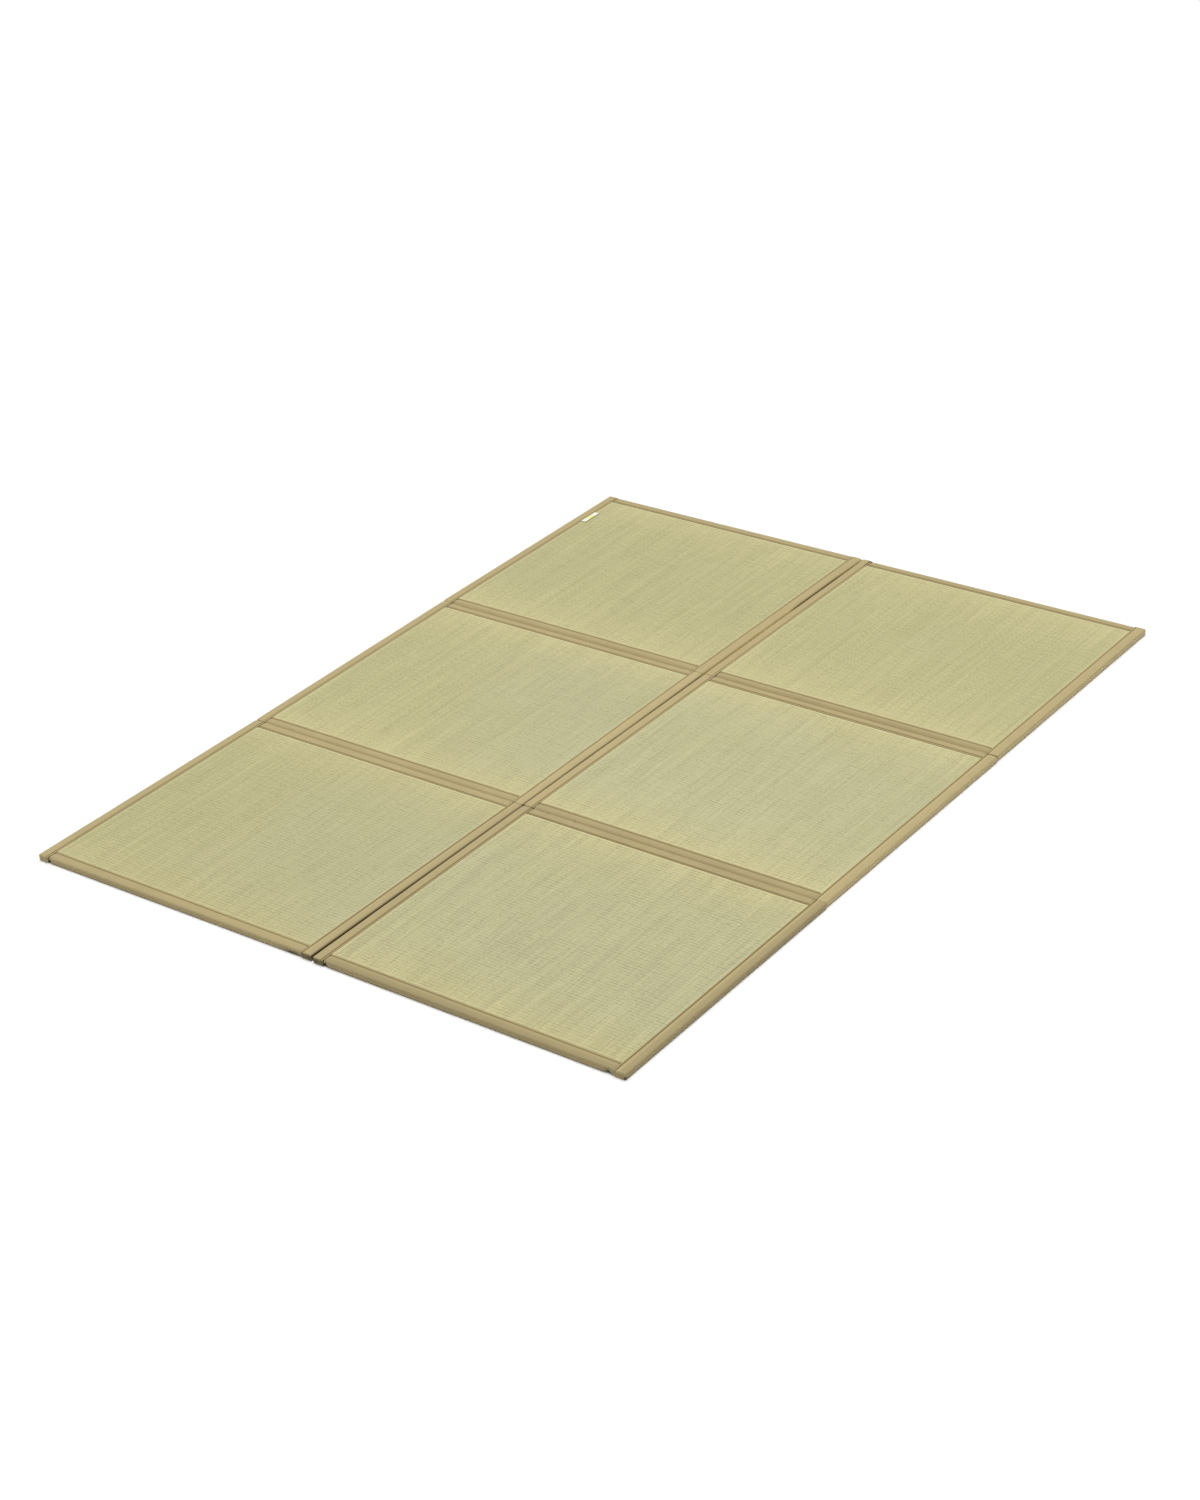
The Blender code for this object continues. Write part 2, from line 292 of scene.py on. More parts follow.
# %% Helpers for materials
def linear(colour):
    """The renderer's linear value of a colour given as it looks, 0 to 255."""
    levels = []
    for level in colour:
        share = level / 255
        levels.append(share / 12.92 if share <= 0.04045 else ((share + 0.055) / 1.055) ** 2.4)
    return (*levels, 1.0)


class Tree:
    """A material's node tree, with one short call for each kind of node used here."""

    def __init__(self, name):
        self.material = bpy.data.materials.new(name)
        self.material.use_nodes = True
        self.nodes = self.material.node_tree.nodes
        self.links = self.material.node_tree.links
        self.shader = self.nodes["Principled BSDF"]

    def connect(self, value, socket):
        """Links a socket, or sets a plain number or tuple."""
        if isinstance(value, bpy.types.NodeSocket):
            self.links.new(value, socket)
        else:
            socket.default_value = value

    def node(self, kind, values=None, output=0, **settings):
        """A new node of a kind, set up with its inputs' values or links: gives one of its outputs."""
        node = self.nodes.new("ShaderNode" + kind)
        for name, setting in settings.items():
            setattr(node, name, setting)
        for name, value in (values or {}).items():
            self.connect(value, node.inputs[name])
        return node.outputs[output]

    def math(self, operation, first, second=0.0, third=0.0, clamp=False):
        return self.node("Math", {0: first, 1: second, 2: third}, operation=operation, use_clamp=clamp)

    def times(self, first, second):
        return self.math("MULTIPLY", first, second)

    def plus(self, first, second, clamp=False):
        return self.math("ADD", first, second, clamp=clamp)

    def less(self, first, second):
        return self.math("SUBTRACT", first, second)

    def scale(self, value, factor, added, clamp=False):
        """value * factor + added."""
        return self.math("MULTIPLY_ADD", value, factor, added, clamp)

    def off_middle(self, value):
        """0 halfway between two whole numbers, rising to 1 at each whole number."""
        return self.math("ABSOLUTE", self.scale(self.math("FRACT", value), 2.0, -1.0))

    def split(self, vector):
        node = self.nodes.new("ShaderNodeSeparateXYZ")
        self.connect(vector, node.inputs[0])
        return node.outputs[0], node.outputs[1]

    def join(self, x, y, z):
        return self.node("CombineXYZ", {0: x, 1: y, 2: z})

    def uv(self, name):
        return self.node("UVMap", uv_map=name)

    def place(self):
        return self.node("TexCoord", output="Object")

    def attribute(self, name):
        return self.node("Attribute", output="Fac", attribute_name=name)

    def smooth(self, value, low, high, out_low=0.0, out_high=1.0):
        """A soft ramp: out_low below low, out_high above high."""
        ends = {"Value": value, "From Min": low, "From Max": high, "To Min": out_low, "To Max": out_high}
        return self.node("MapRange", ends, "Result", interpolation_type="SMOOTHSTEP")

    def vary(self, noise, middle, spread):
        """A noise turned into a value that stays within a spread of its middle."""
        return self.smooth(noise, 0.3, 0.7, middle - spread, middle + spread)

    def noise(self, vector, scale, detail=2.0, roughness=0.5):
        values = {"Vector": vector, "Scale": scale, "Detail": detail, "Roughness": roughness}
        return self.node("TexNoise", values, "Fac")

    def grain(self, x, y, seed, x_rate, y_rate, detail=2.0, roughness=0.5):
        """Noise with its own number of bumps per metre each way."""
        stretched = self.join(self.times(x, x_rate), self.times(y, y_rate), seed)
        return self.noise(stretched, 1.0, detail, roughness)

    def white(self, vector):
        """A random number from 0 to 1 for each value of the vector."""
        return self.node("TexWhiteNoise", {"Vector": vector}, "Value", noise_dimensions="3D")

    def mix(self, share, first, second, blend="MIX"):
        return self.node("Mix", {0: share, 6: first, 7: second}, 2, data_type="RGBA", blend_type=blend)

    def lit(self, colour, light):
        """A colour made darker or lighter by a number."""
        return self.mix(1.0, colour, self.join(light, light, light), "MULTIPLY")

    def dress(self, colour, roughness, height, bump_size, bump_strength=0.6):
        """Gives the shader its colour, its roughness and its bumps."""
        bump = {"Height": height, "Distance": bump_size, "Strength": bump_strength}
        self.connect(self.node("Bump", bump, "Normal"), self.shader.inputs["Normal"])
        self.connect(colour, self.shader.inputs["Base Color"])
        self.connect(roughness, self.shader.inputs["Roughness"])


# %% [markdown]
# The rush face. Stems run along the panel, packed so tightly over the hidden warp cords that each cord makes
# a soft rib across it. A stem shows on every second rib, and its neighbour on the ribs between. The ribs are
# modelled in the mesh below. The material adds what is finer: each stem's round back and colour, painted
# shade where the stems dive between two ribs and where two neighbours part, dry fibres, and the paler stem
# ends beside the tape, paler still on the left and far sides from a painted highlight. It reads the panel's
# own measure from a UV map, so the pattern follows each panel's lean.

# %% The weave's measure
RIBS = 71
ROWS_PER_RIB = 4
COLUMNS = 160
STEM_WIDTH = 0.0021
FIELD_FROM_SIDE = 0.0288
FIELD_FROM_NEAR = 0.0288
FIELD_FROM_FAR = 0.0262
FIELD_U = HALF_WIDTH - FIELD_FROM_SIDE
FIELD_NEAR = -HALF_LENGTH + FIELD_FROM_NEAR
FIELD_FAR = HALF_LENGTH - FIELD_FROM_FAR
RIB_PITCH = (FIELD_FAR - FIELD_NEAR) / RIBS
print("a rib every", round(RIB_PITCH / MM, 2), "mm")

# %% Rush material
RUSH_GREEN = (192, 190, 137)
RUSH_STRAW = (207, 200, 152)
RUSH_GREY = (200, 197, 154)
RUSH_DRY = (206, 196, 146)
RUSH_CREAM = (222, 211, 162)
RUSH_PIT_SHADE = (112, 106, 70)
RUSH_GRAINS = {
    # bumps per metre across the stems and along them, detail, roughness
    "waver": (170.0, 35.0, 2.0, 0.5),
    "drift": (300.0, 6.0, 1.0, 0.5),
    "streak": (58.0, 1.7, 3.0, 0.6),
    "breaks": (120.0, 95.0, 2.0, 0.5),
    "rows": (16.0, 90.0, 1.0, 0.5),
    "fibre": (5200.0, 120.0, 2.0, 0.5),
}
RIB_WANDER = 0.36
CHANCE_IN_COLOUR = 0.55
STREAKS = 0.027
CLOUDS = 0.008
STEM_DRIFT = 0.035
GREY_ACROSS = (-0.72, -0.08)
GREY_ENDS = (0.345, 0.355)
RIM_REACH = (0.0035, 0.0085)
# The stem ends beside the tape are pale, and on the left and far sides they also carry a painted highlight.
RIM_PALE_AND_LIT_LEFT_FAR = 0.32
RIM_PALE_RIGHT_NEAR = 0.14
PIT_SHADE_DARKNESS = 0.6
STEM_BUMP = 0.00045


def make_rush():
    tree = Tree("rush")
    u, v = tree.split(tree.uv("panel"))
    x, y = tree.split(tree.place())
    row_id = tree.math("FLOOR", tree.scale(y, 1 / PANEL_LENGTH, 0.5))
    panel_id = tree.scale(tree.math("SIGN", x), 3.7, tree.times(row_id, 11.3))
    grain = {name: tree.grain(u, v, panel_id, *rates) for name, rates in RUSH_GRAINS.items()}
    pale = tree.attribute("pale")
    openness = tree.attribute("open")

    # The rib and the stem that a point is on, and how far it is off their middles.
    rib = tree.scale(v, 1 / RIB_PITCH, -FIELD_NEAR / RIB_PITCH)
    rib = tree.plus(rib, tree.scale(grain["waver"], RIB_WANDER, -RIB_WANDER / 2))
    parity = tree.math("FLOORED_MODULO", tree.math("FLOOR", rib), 2.0)
    off_crest = tree.off_middle(rib)
    stem = tree.scale(u, 1 / STEM_WIDTH, tree.times(parity, 0.5))
    stem_id = tree.math("FLOOR", stem)
    off_stem = tree.off_middle(stem)
    chance = tree.white(tree.join(stem_id, parity, panel_id))

    # Each stem's colour, greyer towards the right but for the far row, and drier at the short ends.
    tone = tree.times(grain["drift"], 1 - CHANCE_IN_COLOUR)
    tone = tree.plus(tree.times(chance, CHANCE_IN_COLOUR), tone)
    colour = tree.mix(tree.smooth(tone, 0.15, 0.85), linear(RUSH_GREEN), linear(RUSH_STRAW))
    patch = tree.smooth(tree.noise(tree.join(x, y, 0.0), 3.2), 0.35, 0.65, -0.22, 0.22)
    grey = tree.times(tree.smooth(x, *GREY_ACROSS), tree.smooth(y, *GREY_ENDS, 1.0, 0.0))
    grey = tree.scale(pale, -0.7, tree.plus(grey, patch), clamp=True)
    colour = tree.mix(grey, colour, linear(RUSH_GREY))
    colour = tree.mix(tree.times(pale, 0.65), colour, linear(RUSH_DRY))
    cloud = tree.noise(tree.join(x, y, 4.0), 4.5, 3.0)
    light = tree.plus(tree.vary(grain["streak"], 1.0, STREAKS), tree.vary(cloud, 0.0, CLOUDS))
    light = tree.scale(tree.vary(grain["drift"], 0.0, STEM_DRIFT), openness, light)
    colour = tree.lit(colour, tree.times(light, tree.attribute("tone")))

    # The paler stem ends beside the tape, paler still on the left and far sides from a painted highlight.
    left_far = tree.math("MINIMUM", tree.plus(u, FIELD_U), tree.less(FIELD_FAR, v))
    right_near = tree.math("MINIMUM", tree.less(FIELD_U, u), tree.less(v, FIELD_NEAR))
    left_far = tree.smooth(left_far, *RIM_REACH, RIM_PALE_AND_LIT_LEFT_FAR, 0.0)
    right_near = tree.smooth(right_near, *RIM_REACH, RIM_PALE_RIGHT_NEAR, 0.0)
    pale_rim_and_highlight = tree.math("MAXIMUM", left_far, right_near)
    colour = tree.mix(pale_rim_and_highlight, colour, linear(RUSH_CREAM))

    # Painted shade in the pits: where the stems dive between two ribs, and where two neighbours part.
    dive = tree.smooth(grain["breaks"], 0.35, 0.62, 0.12, 0.75)
    dive = tree.times(tree.smooth(off_crest, 0.66, 1.0), dive)
    dive = tree.times(dive, tree.smooth(grain["rows"], 0.35, 0.65, 0.5, 1.4))
    stretch = tree.math("FLOOR", tree.scale(v, 10.0, tree.times(chance, 7.0)))
    parting = tree.white(tree.join(stem_id, tree.scale(parity, 0.5, stretch), panel_id))
    parting = tree.smooth(parting, 0.62, 1.0, 0.14, 1.2)
    parting = tree.times(tree.smooth(off_stem, 0.55, 1.0), parting)
    pit_shade = tree.plus(dive, tree.times(parting, openness), clamp=True)
    colour = tree.mix(tree.times(pit_shade, tree.scale(pale_rim_and_highlight, -0.9, PIT_SHADE_DARKNESS)), colour, linear(RUSH_PIT_SHADE))

    back = tree.times(tree.times(off_stem, off_stem), -1.0)
    height = tree.scale(tree.times(off_crest, off_crest), -0.5, back)
    height = tree.scale(grain["fibre"], 0.16, height)
    tree.dress(colour, tree.vary(grain["fibre"], 0.61, 0.09), height, STEM_BUMP)
    tree.shader.inputs["Specular IOR Level"].default_value = 0.3
    return tree.material


rush_material = make_rush()
print("rush material with", len(rush_material.node_tree.nodes), "nodes")

# %% [markdown]
# The tape is plain cotton, woven a thread over and a thread under. Its material has the threads as a fine
# grid of bumps, and slubs that streak it faintly along its length. The attribute shade is painted shade: it
# darkens the sewn channel, where little light reaches, and also the gap between the strips, the hollows and
# the corners at the joints. The attribute tone makes each length of tape a little lighter or darker, and
# carries the painted light and shade laid along it. Where the tone is very low, in a hollow or deep in the
# gap between the strips, the painted shade turns deeper too.

# %% Tape, thread and label materials
TAPE_TONE = (195, 178, 130)
TAPE_SHADE = (106, 86, 40)
TAPE_DEEP = (60, 43, 8)
THREAD_TONE = (150, 134, 92)
SHADE_GRAIN_TONE = (58, 46, 22)
LABEL_PALE = (252, 251, 232)
LABEL_TINT = (243, 248, 172)
THREADS_PER_METRE = 1150
SLUB_BUMPS = (420.0, 16.0, 3.0)
LABEL_BUMPS = (2600.0, 900.0)
LABEL_BAND = (0.010, 0.012)


def make_tape():
    tree = Tree("tape")
    across, along = tree.split(tree.uv("cloth"))
    shade = tree.attribute("shade")
    tone = tree.attribute("tone")
    warp = tree.math("SINE", tree.times(across, THREADS_PER_METRE * math.pi))
    weft = tree.math("SINE", tree.times(along, THREADS_PER_METRE * math.pi))
    cloth = tree.times(warp, weft)
    slub = tree.grain(across, along, 0.0, *SLUB_BUMPS)
    mottle = tree.noise(tree.place(), 38.0, 3.0)
    light = tree.scale(slub, 0.10, tree.scale(mottle, 0.10, 0.90))
    light = tree.times(tree.scale(cloth, 0.035, light), tone)
    deep = tree.mix(tree.smooth(tone, 0.2, 0.7, 1.0, 0.0), linear(TAPE_SHADE), linear(TAPE_DEEP))
    colour = tree.mix(shade, tree.lit(linear(TAPE_TONE), light), deep)
    tree.dress(colour, tree.vary(slub, 0.80, 0.08), tree.scale(slub, 0.5, cloth), 0.00016)
    tree.connect(tree.smooth(shade, 0.3, 1.0, 0.25, 0.03), tree.shader.inputs["Specular IOR Level"])
    tree.shader.inputs["Sheen Weight"].default_value = 0.08
    return tree.material


def make_thread(name, dark, pale):
    tree = Tree(name)
    twist = tree.noise(tree.place(), 2400.0, 1.0)
    colour = tree.mix(tree.smooth(twist, 0.35, 0.65), linear(dark), linear(pale))
    tree.dress(colour, 0.7, twist, 0.0001, 0.5)
    return tree.material


def make_label_material():
    tree = Tree("label")
    across, along = tree.split(tree.uv("cloth"))
    off_middle = tree.math("ABSOLUTE", tree.less(along, LABEL_LENGTH / 2))
    tint = tree.smooth(off_middle, *LABEL_BAND, 1.0, 0.0)
    grain = tree.grain(across, along, 0.0, *LABEL_BUMPS)
    colour = tree.lit(tree.mix(tint, linear(LABEL_PALE), linear(LABEL_TINT)), tree.vary(grain, 0.965, 0.035))
    tree.dress(colour, 0.5, grain, 0.00008)
    return tree.material


tape_material = make_tape()
thread_material = make_thread("thread", THREAD_TONE, TAPE_TONE)
shade_grain_material = make_thread("knot", SHADE_GRAIN_TONE, TAPE_SHADE)
label_material = make_label_material()
print("materials", [material.name for material in bpy.data.materials])

# %% [markdown]
# One function finishes every piece the same way: it turns a bmesh into an object at the origin, shades it
# smooth, gives it its material and hands it to the frame, with the slot it takes its finish from and the
# solids that it stands for. The others are the small curves that every piece below is shaped with.


# %% Finish a piece, and small curves
def finish_piece(name, work, material, slot, replaces=()):
    mesh = bpy.data.meshes.new(name)
    work.to_mesh(mesh)
    work.free()
    mesh.materials.append(material)
    mesh.shade_smooth()
    piece = add_object(name, mesh)
    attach(piece, "root")
    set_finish(piece, slot)
    if replaces:
        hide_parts(*replaces)
    return piece


def ripple(x, y, wavelength, seed):
    """A smooth random value from about -1 to 1, with bumps about a wavelength apart."""
    return noise.noise(Vector((x / wavelength, y / wavelength, seed * 3.1 + SEED)))


def clamp(share):
    return min(1.0, max(0.0, share))


def bell(distance, spread):
    """1 at no distance, falling to next to nothing at twice the spread."""
    return math.exp(-((distance / spread) ** 2))


def sink(height, depth):
    """Moves a height towards the middle of the mat's thickness, from above or from below."""
    return height - depth if height > MID_HEIGHT else height + depth


def grid_place(vert, across_count, along_count):
    """The column and row of a vertex in a grid of size 1 that hasn't been moved yet."""
    return round((vert.co.x + 0.5) * across_count), round((vert.co.y + 0.5) * along_count)


# %% [markdown]
# The pads. A fine grid is the woven face: four rows of points for each rib give it a crest, two shoulders and
# a valley, and columns a few stems wide are each a little out of step with the next. Its border is extruded
# ring by ring, pressed down below the tape, round the edge and in again underneath, and a coarse grid bridged
# to the last ring closes the underside. That keeps the fine rows to where they show.

# %% What shapes a pad
RIB_PROFILE = (0.0, 0.78, 1.0, 0.78)
RIB_RISE = 0.00036
RIB_SWELL = 0.3
STEM_UNEVEN = 0.00014
RIB_WAVER = 0.0005
RIM_RISE = 0.0002
RIM_PLACE = 0.0035
RIM_SPREAD = 0.0025
FACE_SUNK = 0.0003
FACE_RAMP = 0.003
FACE_WAVE = 0.00035
PAD_SHORT = 0.0038
UNDER_GRID = (26, 24)
UNDER_FROM_EDGE = 0.060

PAD_RINGS = (
    # in from the panel's edge, height above the floor: mm
    (25.4, 12.9),
    (22.5, 12.0),
    (8.0, 12.2),
    (4.8, 11.0),
    (3.8, 4.0),
    (4.8, 1.7),
    (27.3, 1.5),
    (32.0, 0.1),
)
LAYER_UNDER_TAPE = 0.0017
HINGE_DEPTHS = {"far_joint": 0.0040, "near_joint": 0.0026}
HINGE_REACH = 0.011
HINGE_UNDER = 0.0020


def hinge_drop(distance, depth):
    """How far the solids' face drops at a distance from a hinge's middle."""
    if distance >= HINGE_REACH:
        return 0.0
    return depth * (1 - distance / HINGE_REACH) ** 2


RUSH_LOOKS = {
    # how light the rush is, and how open its weave: how dark the painted shade in the gaps between its stems
    # is
    "left_far": (0.92, 0.85),
    "left_mid": (0.93, 1.0),
    "left_near": (0.90, 1.2),
    "right_far": (0.94, 0.95),
    "right_mid": (0.95, 1.3),
    "right_near": (0.93, 1.7),
}
# How much paler the rush has dried towards a panel's short ends, and how far in.
PALE_ENDS = 0.11
PALE_REACH = 0.095
PALE_FRONT = 0.4


def hinge_fit(z, from_end, line, share=1.0):
    """A height beside a joint, drawn towards the pad's middle as the solids are."""
    depth = HINGE_DEPTHS[line] if z > MID_HEIGHT else HINGE_UNDER
    return sink(z, share * hinge_drop(from_end, depth))


print("hinge depths", {line: depth / MM for line, depth in HINGE_DEPTHS.items()}, "mm")

# %% [markdown]
# Each point of the face is moved by what was done to it: pressed between the warp cords, nudged by its
# neighbours, dried at the ends. The rings below it are only fitted to what crosses them at a joint.


# %% Weave the pads
def weave_face(panel, u, v, column, row):
    """A point of the woven face: the ribs, stems a little out of step, and the pad's slow unevenness."""
    seed = panel.middle
    depth = min(FIELD_U - abs(u), FIELD_FAR - v, v - FIELD_NEAR)
    inside = min(1.0, depth / FACE_RAMP)
    rib, step = divmod(row, ROWS_PER_RIB)
    rise = RIB_RISE * RIB_PROFILE[step] * (1 + RIB_SWELL * ripple(u, v, 0.019, seed + 1))
    rise += STEM_UNEVEN * ripple(column * 0.9, rib % 2 * 7.7, 1.0, seed)
    rise += RIM_RISE * bell(depth - RIM_PLACE, RIM_SPREAD) + FACE_WAVE * ripple(u, v, 0.16, seed + 5)
    waver = RIB_WAVER * ripple(u, v, 0.013, seed + 8)
    return Vector((u, v + inside * waver, RUSH_TOP - FACE_SUNK + inside * rise))


def paleness(v, front=1.0):
    """0 to 1: how far the stems have dried at v. front: how much the near end takes part."""
    pale = math.exp(-(FIELD_FAR - v) / PALE_REACH) + front * math.exp(-(v - FIELD_NEAR) / PALE_REACH)
    return min(1.0, pale)


def settle(panel, u, v, z):
    """Fits a hidden ring's point to the joints: short of the hinge, and below what crosses there."""
    end = 1 if v > 0 else -1
    from_end = HALF_LENGTH - abs(v)
    if from_end < TAPE_WIDTH and HALF_WIDTH - abs(u) < TAPE_WIDTH:
        z = sink(z, LAYER_UNDER_TAPE)
    if panel.is_joint(end):
        z = hinge_fit(z, max(from_end, PAD_SHORT), panel.end_line(end))
        v = end * min(abs(v), HALF_LENGTH - PAD_SHORT)
    return u, v, z


def make_pad(panel):
    work = bmesh.new()
    panel_uv = work.loops.layers.uv.new("panel")
    tone_layer = work.verts.layers.float.new("tone")
    pale_layer = work.verts.layers.float.new("pale")
    open_layer = work.verts.layers.float.new("open")
    tone, openness = RUSH_LOOKS[panel.name]
    front = PALE_FRONT if panel.row == "near" else 1.0
    rows = RIBS * ROWS_PER_RIB
    bmesh.ops.create_grid(work, x_segments=COLUMNS, y_segments=rows, size=0.5)
    border = [edge for edge in work.edges if edge.is_boundary]
    face_points = {}
    for vert in work.verts:
        column, row = grid_place(vert, COLUMNS, rows)
        v = FIELD_NEAR + (vert.co.y + 0.5) * (FIELD_FAR - FIELD_NEAR)
        vert.co = (2 * FIELD_U * vert.co.x, v, RUSH_TOP)
        face_points[vert] = weave_face(panel, vert.co.x, vert.co.y, column, row)
    low = Vector((-FIELD_U, FIELD_NEAR))
    high = Vector((FIELD_U, FIELD_FAR))
    hidden = []
    for from_edge, height in PAD_RINGS:
        made = bmesh.ops.extrude_edge_only(work, edges=border)["geom"]
        border = [part for part in made if isinstance(part, bmesh.types.BMEdge) and part.is_boundary]
        ring = {vert for edge in border for vert in edge.verts}
        next_high = Vector((HALF_WIDTH - from_edge * MM, HALF_LENGTH - from_edge * MM))
        for vert in ring:
            share_x = (vert.co.x - low.x) / (high.x - low.x)
            share_y = (vert.co.y - low.y) / (high.y - low.y)
            vert.co = (next_high.x * (2 * share_x - 1), next_high.y * (2 * share_y - 1), height * MM)
        hidden += ring
        low, high = -next_high, next_high
    made = bmesh.ops.create_grid(work, x_segments=UNDER_GRID[0], y_segments=UNDER_GRID[1], size=0.5)
    size = (2 * (HALF_WIDTH - UNDER_FROM_EDGE), 2 * (HALF_LENGTH - UNDER_FROM_EDGE), 1)
    bmesh.ops.scale(work, verts=made["verts"], vec=size)
    bmesh.ops.bridge_loops(work, edges=[edge for edge in work.edges if edge.is_boundary])
    bmesh.ops.recalc_face_normals(work, faces=work.faces)
    for vert in work.verts:
        vert[pale_layer] = paleness(vert.co.y)
        vert[open_layer] = openness
        vert[tone_layer] = tone * (1 + PALE_ENDS * paleness(vert.co.y, front))
    for face in work.faces:
        for loop in face.loops:
            loop[panel_uv].uv = loop.vert.co.xy
    for vert, point in face_points.items():
        vert.co = point
    for vert in hidden:
        vert.co = settle(panel, *vert.co)
    for vert in work.verts:
        vert.co = panel.point(*vert.co)
    open_edges = sum(1 for edge in work.edges if not edge.is_manifold)
    piece = finish_piece(f"rush_face_{panel.name}", work, rush_material, "rush", (f"rush_{panel.name}",))
    return piece, open_edges


pads = {}
for key, panel in panels.items():
    pads[key], open_edges = make_pad(panel)
    print(pads[key].name, len(pads[key].data.polygons), "faces,", open_edges, "open edges")

# %% [markdown]
# The tape is a sheet, so it starts as a flat grid: one way across the tape, the other along it. Each column
# of the grid is laid on a cross-section, read from a short table, which runs from the tape's inner edge over
# its sewn channel and its crown, round the pad's edge and back underneath. A Solidify modifier then gives the
# cloth its thickness inwards. A grid laid on a section has even, straight threads, which a boolean or a
# remesh would lose.

# %% The tape's section
SEAM_ROWS = (
    # in from the tape's inner edge, lift over the mat's top, shade
    (0.0, -0.80, 0.30),
    (0.7, -0.30, 0.05),
    (2.2, -0.10, 0.0),
    (3.6, -0.45, 0.35),
    (4.9, -0.95, 0.95),
    (6.1, -0.55, 0.40),
    (7.6, -0.05, 0.0),
    (10.0, 0.15, 0.0),
    (14.0, 0.12, 0.0),
)
EDGE_ROWS = (
    # in from the mat's edge, height under the mat's top, shade
    (9.5, 0.02, 0.0),
    (6.6, 0.12, 0.0),
    (4.5, 0.45, 0.0),
    (2.7, 1.15, 0.0),
    (1.2, 2.35, 0.0),
    (0.3, 4.10, 0.0),
    (0.0, 6.50, 0.0),
    (0.0, 9.40, 0.0),
    (0.2, 12.20, 0.05),
    (0.9, 13.80, 0.10),
    (2.3, 14.60, 0.2),
    (5.0, 14.80, 0.4),
)
# The same rows where the cloth was pulled tighter round the edge, as on one side of each panel.
TIGHT_ROWS = (
    (9.5, 0.0, 0.0),
    (6.0, 0.02, 0.0),
    (3.5, 0.12, 0.0),
    (1.8, 0.50, 0.0),
    (0.6, 1.40, 0.0),
    (0.1, 3.20, 0.0),
) + EDGE_ROWS[6:]
UNDER_ROWS = (
    # in from the mat's edge, height under the mat's top, shade
    (14.0, 14.80, 0.1),
    (21.0, 14.80, 0.0),
    (23.6, 14.25, 0.4),
    (26.0, 14.75, 0.0),
    (28.0, 14.30, 0.2),
)
FAR_SHOWS_LESS = 2.6 * MM
TAPE_STEP = 0.0085
SEAM_FROM_INNER = 4.9 * MM
SEAM_SPREAD = 2.2 * MM
SEAM_PULL = 3 * MM
SEAM_PUCKER = 0.00018
TAPE_WAVE = 0.00016
EDGE_WOBBLE = 0.00035
WOBBLE_REACH = 8 * MM
INNER_WOBBLE = 0.0004


def folded_section(edge_rows):
    """Rows of (distance in from the mat's edge, height above the floor, shade), in metres."""
    rows = [(TAPE_WIDTH - inward * MM, THICKNESS + lift * MM, shade) for inward, lift, shade in SEAM_ROWS]
    rows += [(inward * MM, THICKNESS - under * MM, shade) for inward, under, shade in edge_rows + UNDER_ROWS]
    return rows


def arc_lengths(rows):
    """How far along the section each row lies."""
    lengths = [0.0]
    for first, second in zip(rows, rows[1:]):
        lengths.append(lengths[-1] + math.hypot(second[0] - first[0], second[1] - first[1]))
    return lengths


def even_steps(low, high, step):
    """Values from low to high, about a step apart."""
    count = max(1, round((high - low) / step))
    return [low + (high - low) * index / count for index in range(count + 1)]


SECTION = folded_section(EDGE_ROWS)
TIGHT_SECTION = folded_section(TIGHT_ROWS)

# %% [markdown]
# Every sheet goes through the next function. It makes the grid, asks the caller where each point lies, and
# stores what the tape's material reads: a UV map in metres of cloth, the shade and the tone.


# %% A sheet laid on a section
TONE_DRIFT = 0.04


def lay_sheet(rows, stations, where, tone=1.0):
    """A grid of cloth: where(row index, station index) gives (point, painted shade, lightness with painted
    light).
    """
    work = bmesh.new()
    counts = len(rows) - 1, len(stations) - 1
    bmesh.ops.create_grid(work, x_segments=counts[0], y_segments=counts[1], size=0.5)
    lengths = arc_lengths(rows)
    cloth_uv = work.loops.layers.uv.new("cloth")
    shade_layer = work.verts.layers.float.new("shade")
    tone_layer = work.verts.layers.float.new("tone")
    for face in work.faces:
        for loop in face.loops:
            i, j = grid_place(loop.vert, *counts)
            loop[cloth_uv].uv = (lengths[i], stations[j])
    ends = {-1: [], 1: []}
    for vert in work.verts:
        i, j = grid_place(vert, *counts)
        if j in (0, counts[1]):
            ends[1 if j else -1].append(vert)
        vert.co, vert[shade_layer], lightness = where(i, j)
        vert[tone_layer] = tone * lightness * (1 + TONE_DRIFT * ripple(stations[j], tone, 0.09, 11))
    return work, ends


def face_out(work, inside):
    """Turns the sheet's faces away from a point inside the fold."""
    work.normal_update()
    facing = 0.0
    for face in work.faces:
        facing += (face.calc_center_median() - inside).dot(face.normal) * face.calc_area()
    if facing < 0:
        bmesh.ops.reverse_faces(work, faces=work.faces)


def thicken(piece, name="cloth", thickness=CLOTH):
    solid = piece.modifiers.new(name, "SOLIDIFY")
    solid.thickness = thickness
    solid.offset = -1.0
    return piece


# %% [markdown]
# The side tapes run the whole length of a panel. At a joint the tape just ends, its corner rounded off and
# dipping a little into the hinge's groove. At the mat's free ends it is folded down over the end tape: the
# last stations shrink round a small arc, and the opening left at the end is filled.

# %% Where a side tape's stations lie, and how its cloth gives
END_RADIUS = 0.0026
END_REACH = 0.0013
END_ARC_STEPS = 4
END_FINE_STEPS = (0.0015, 0.0035, 0.006)
END_CLOSING = ((0.0, 0.0045), (-0.0002, 0.0060), (-0.0006, 0.0069))
JOINT_GAP = 0.0002
NARROWED_FROM = 12 * MM


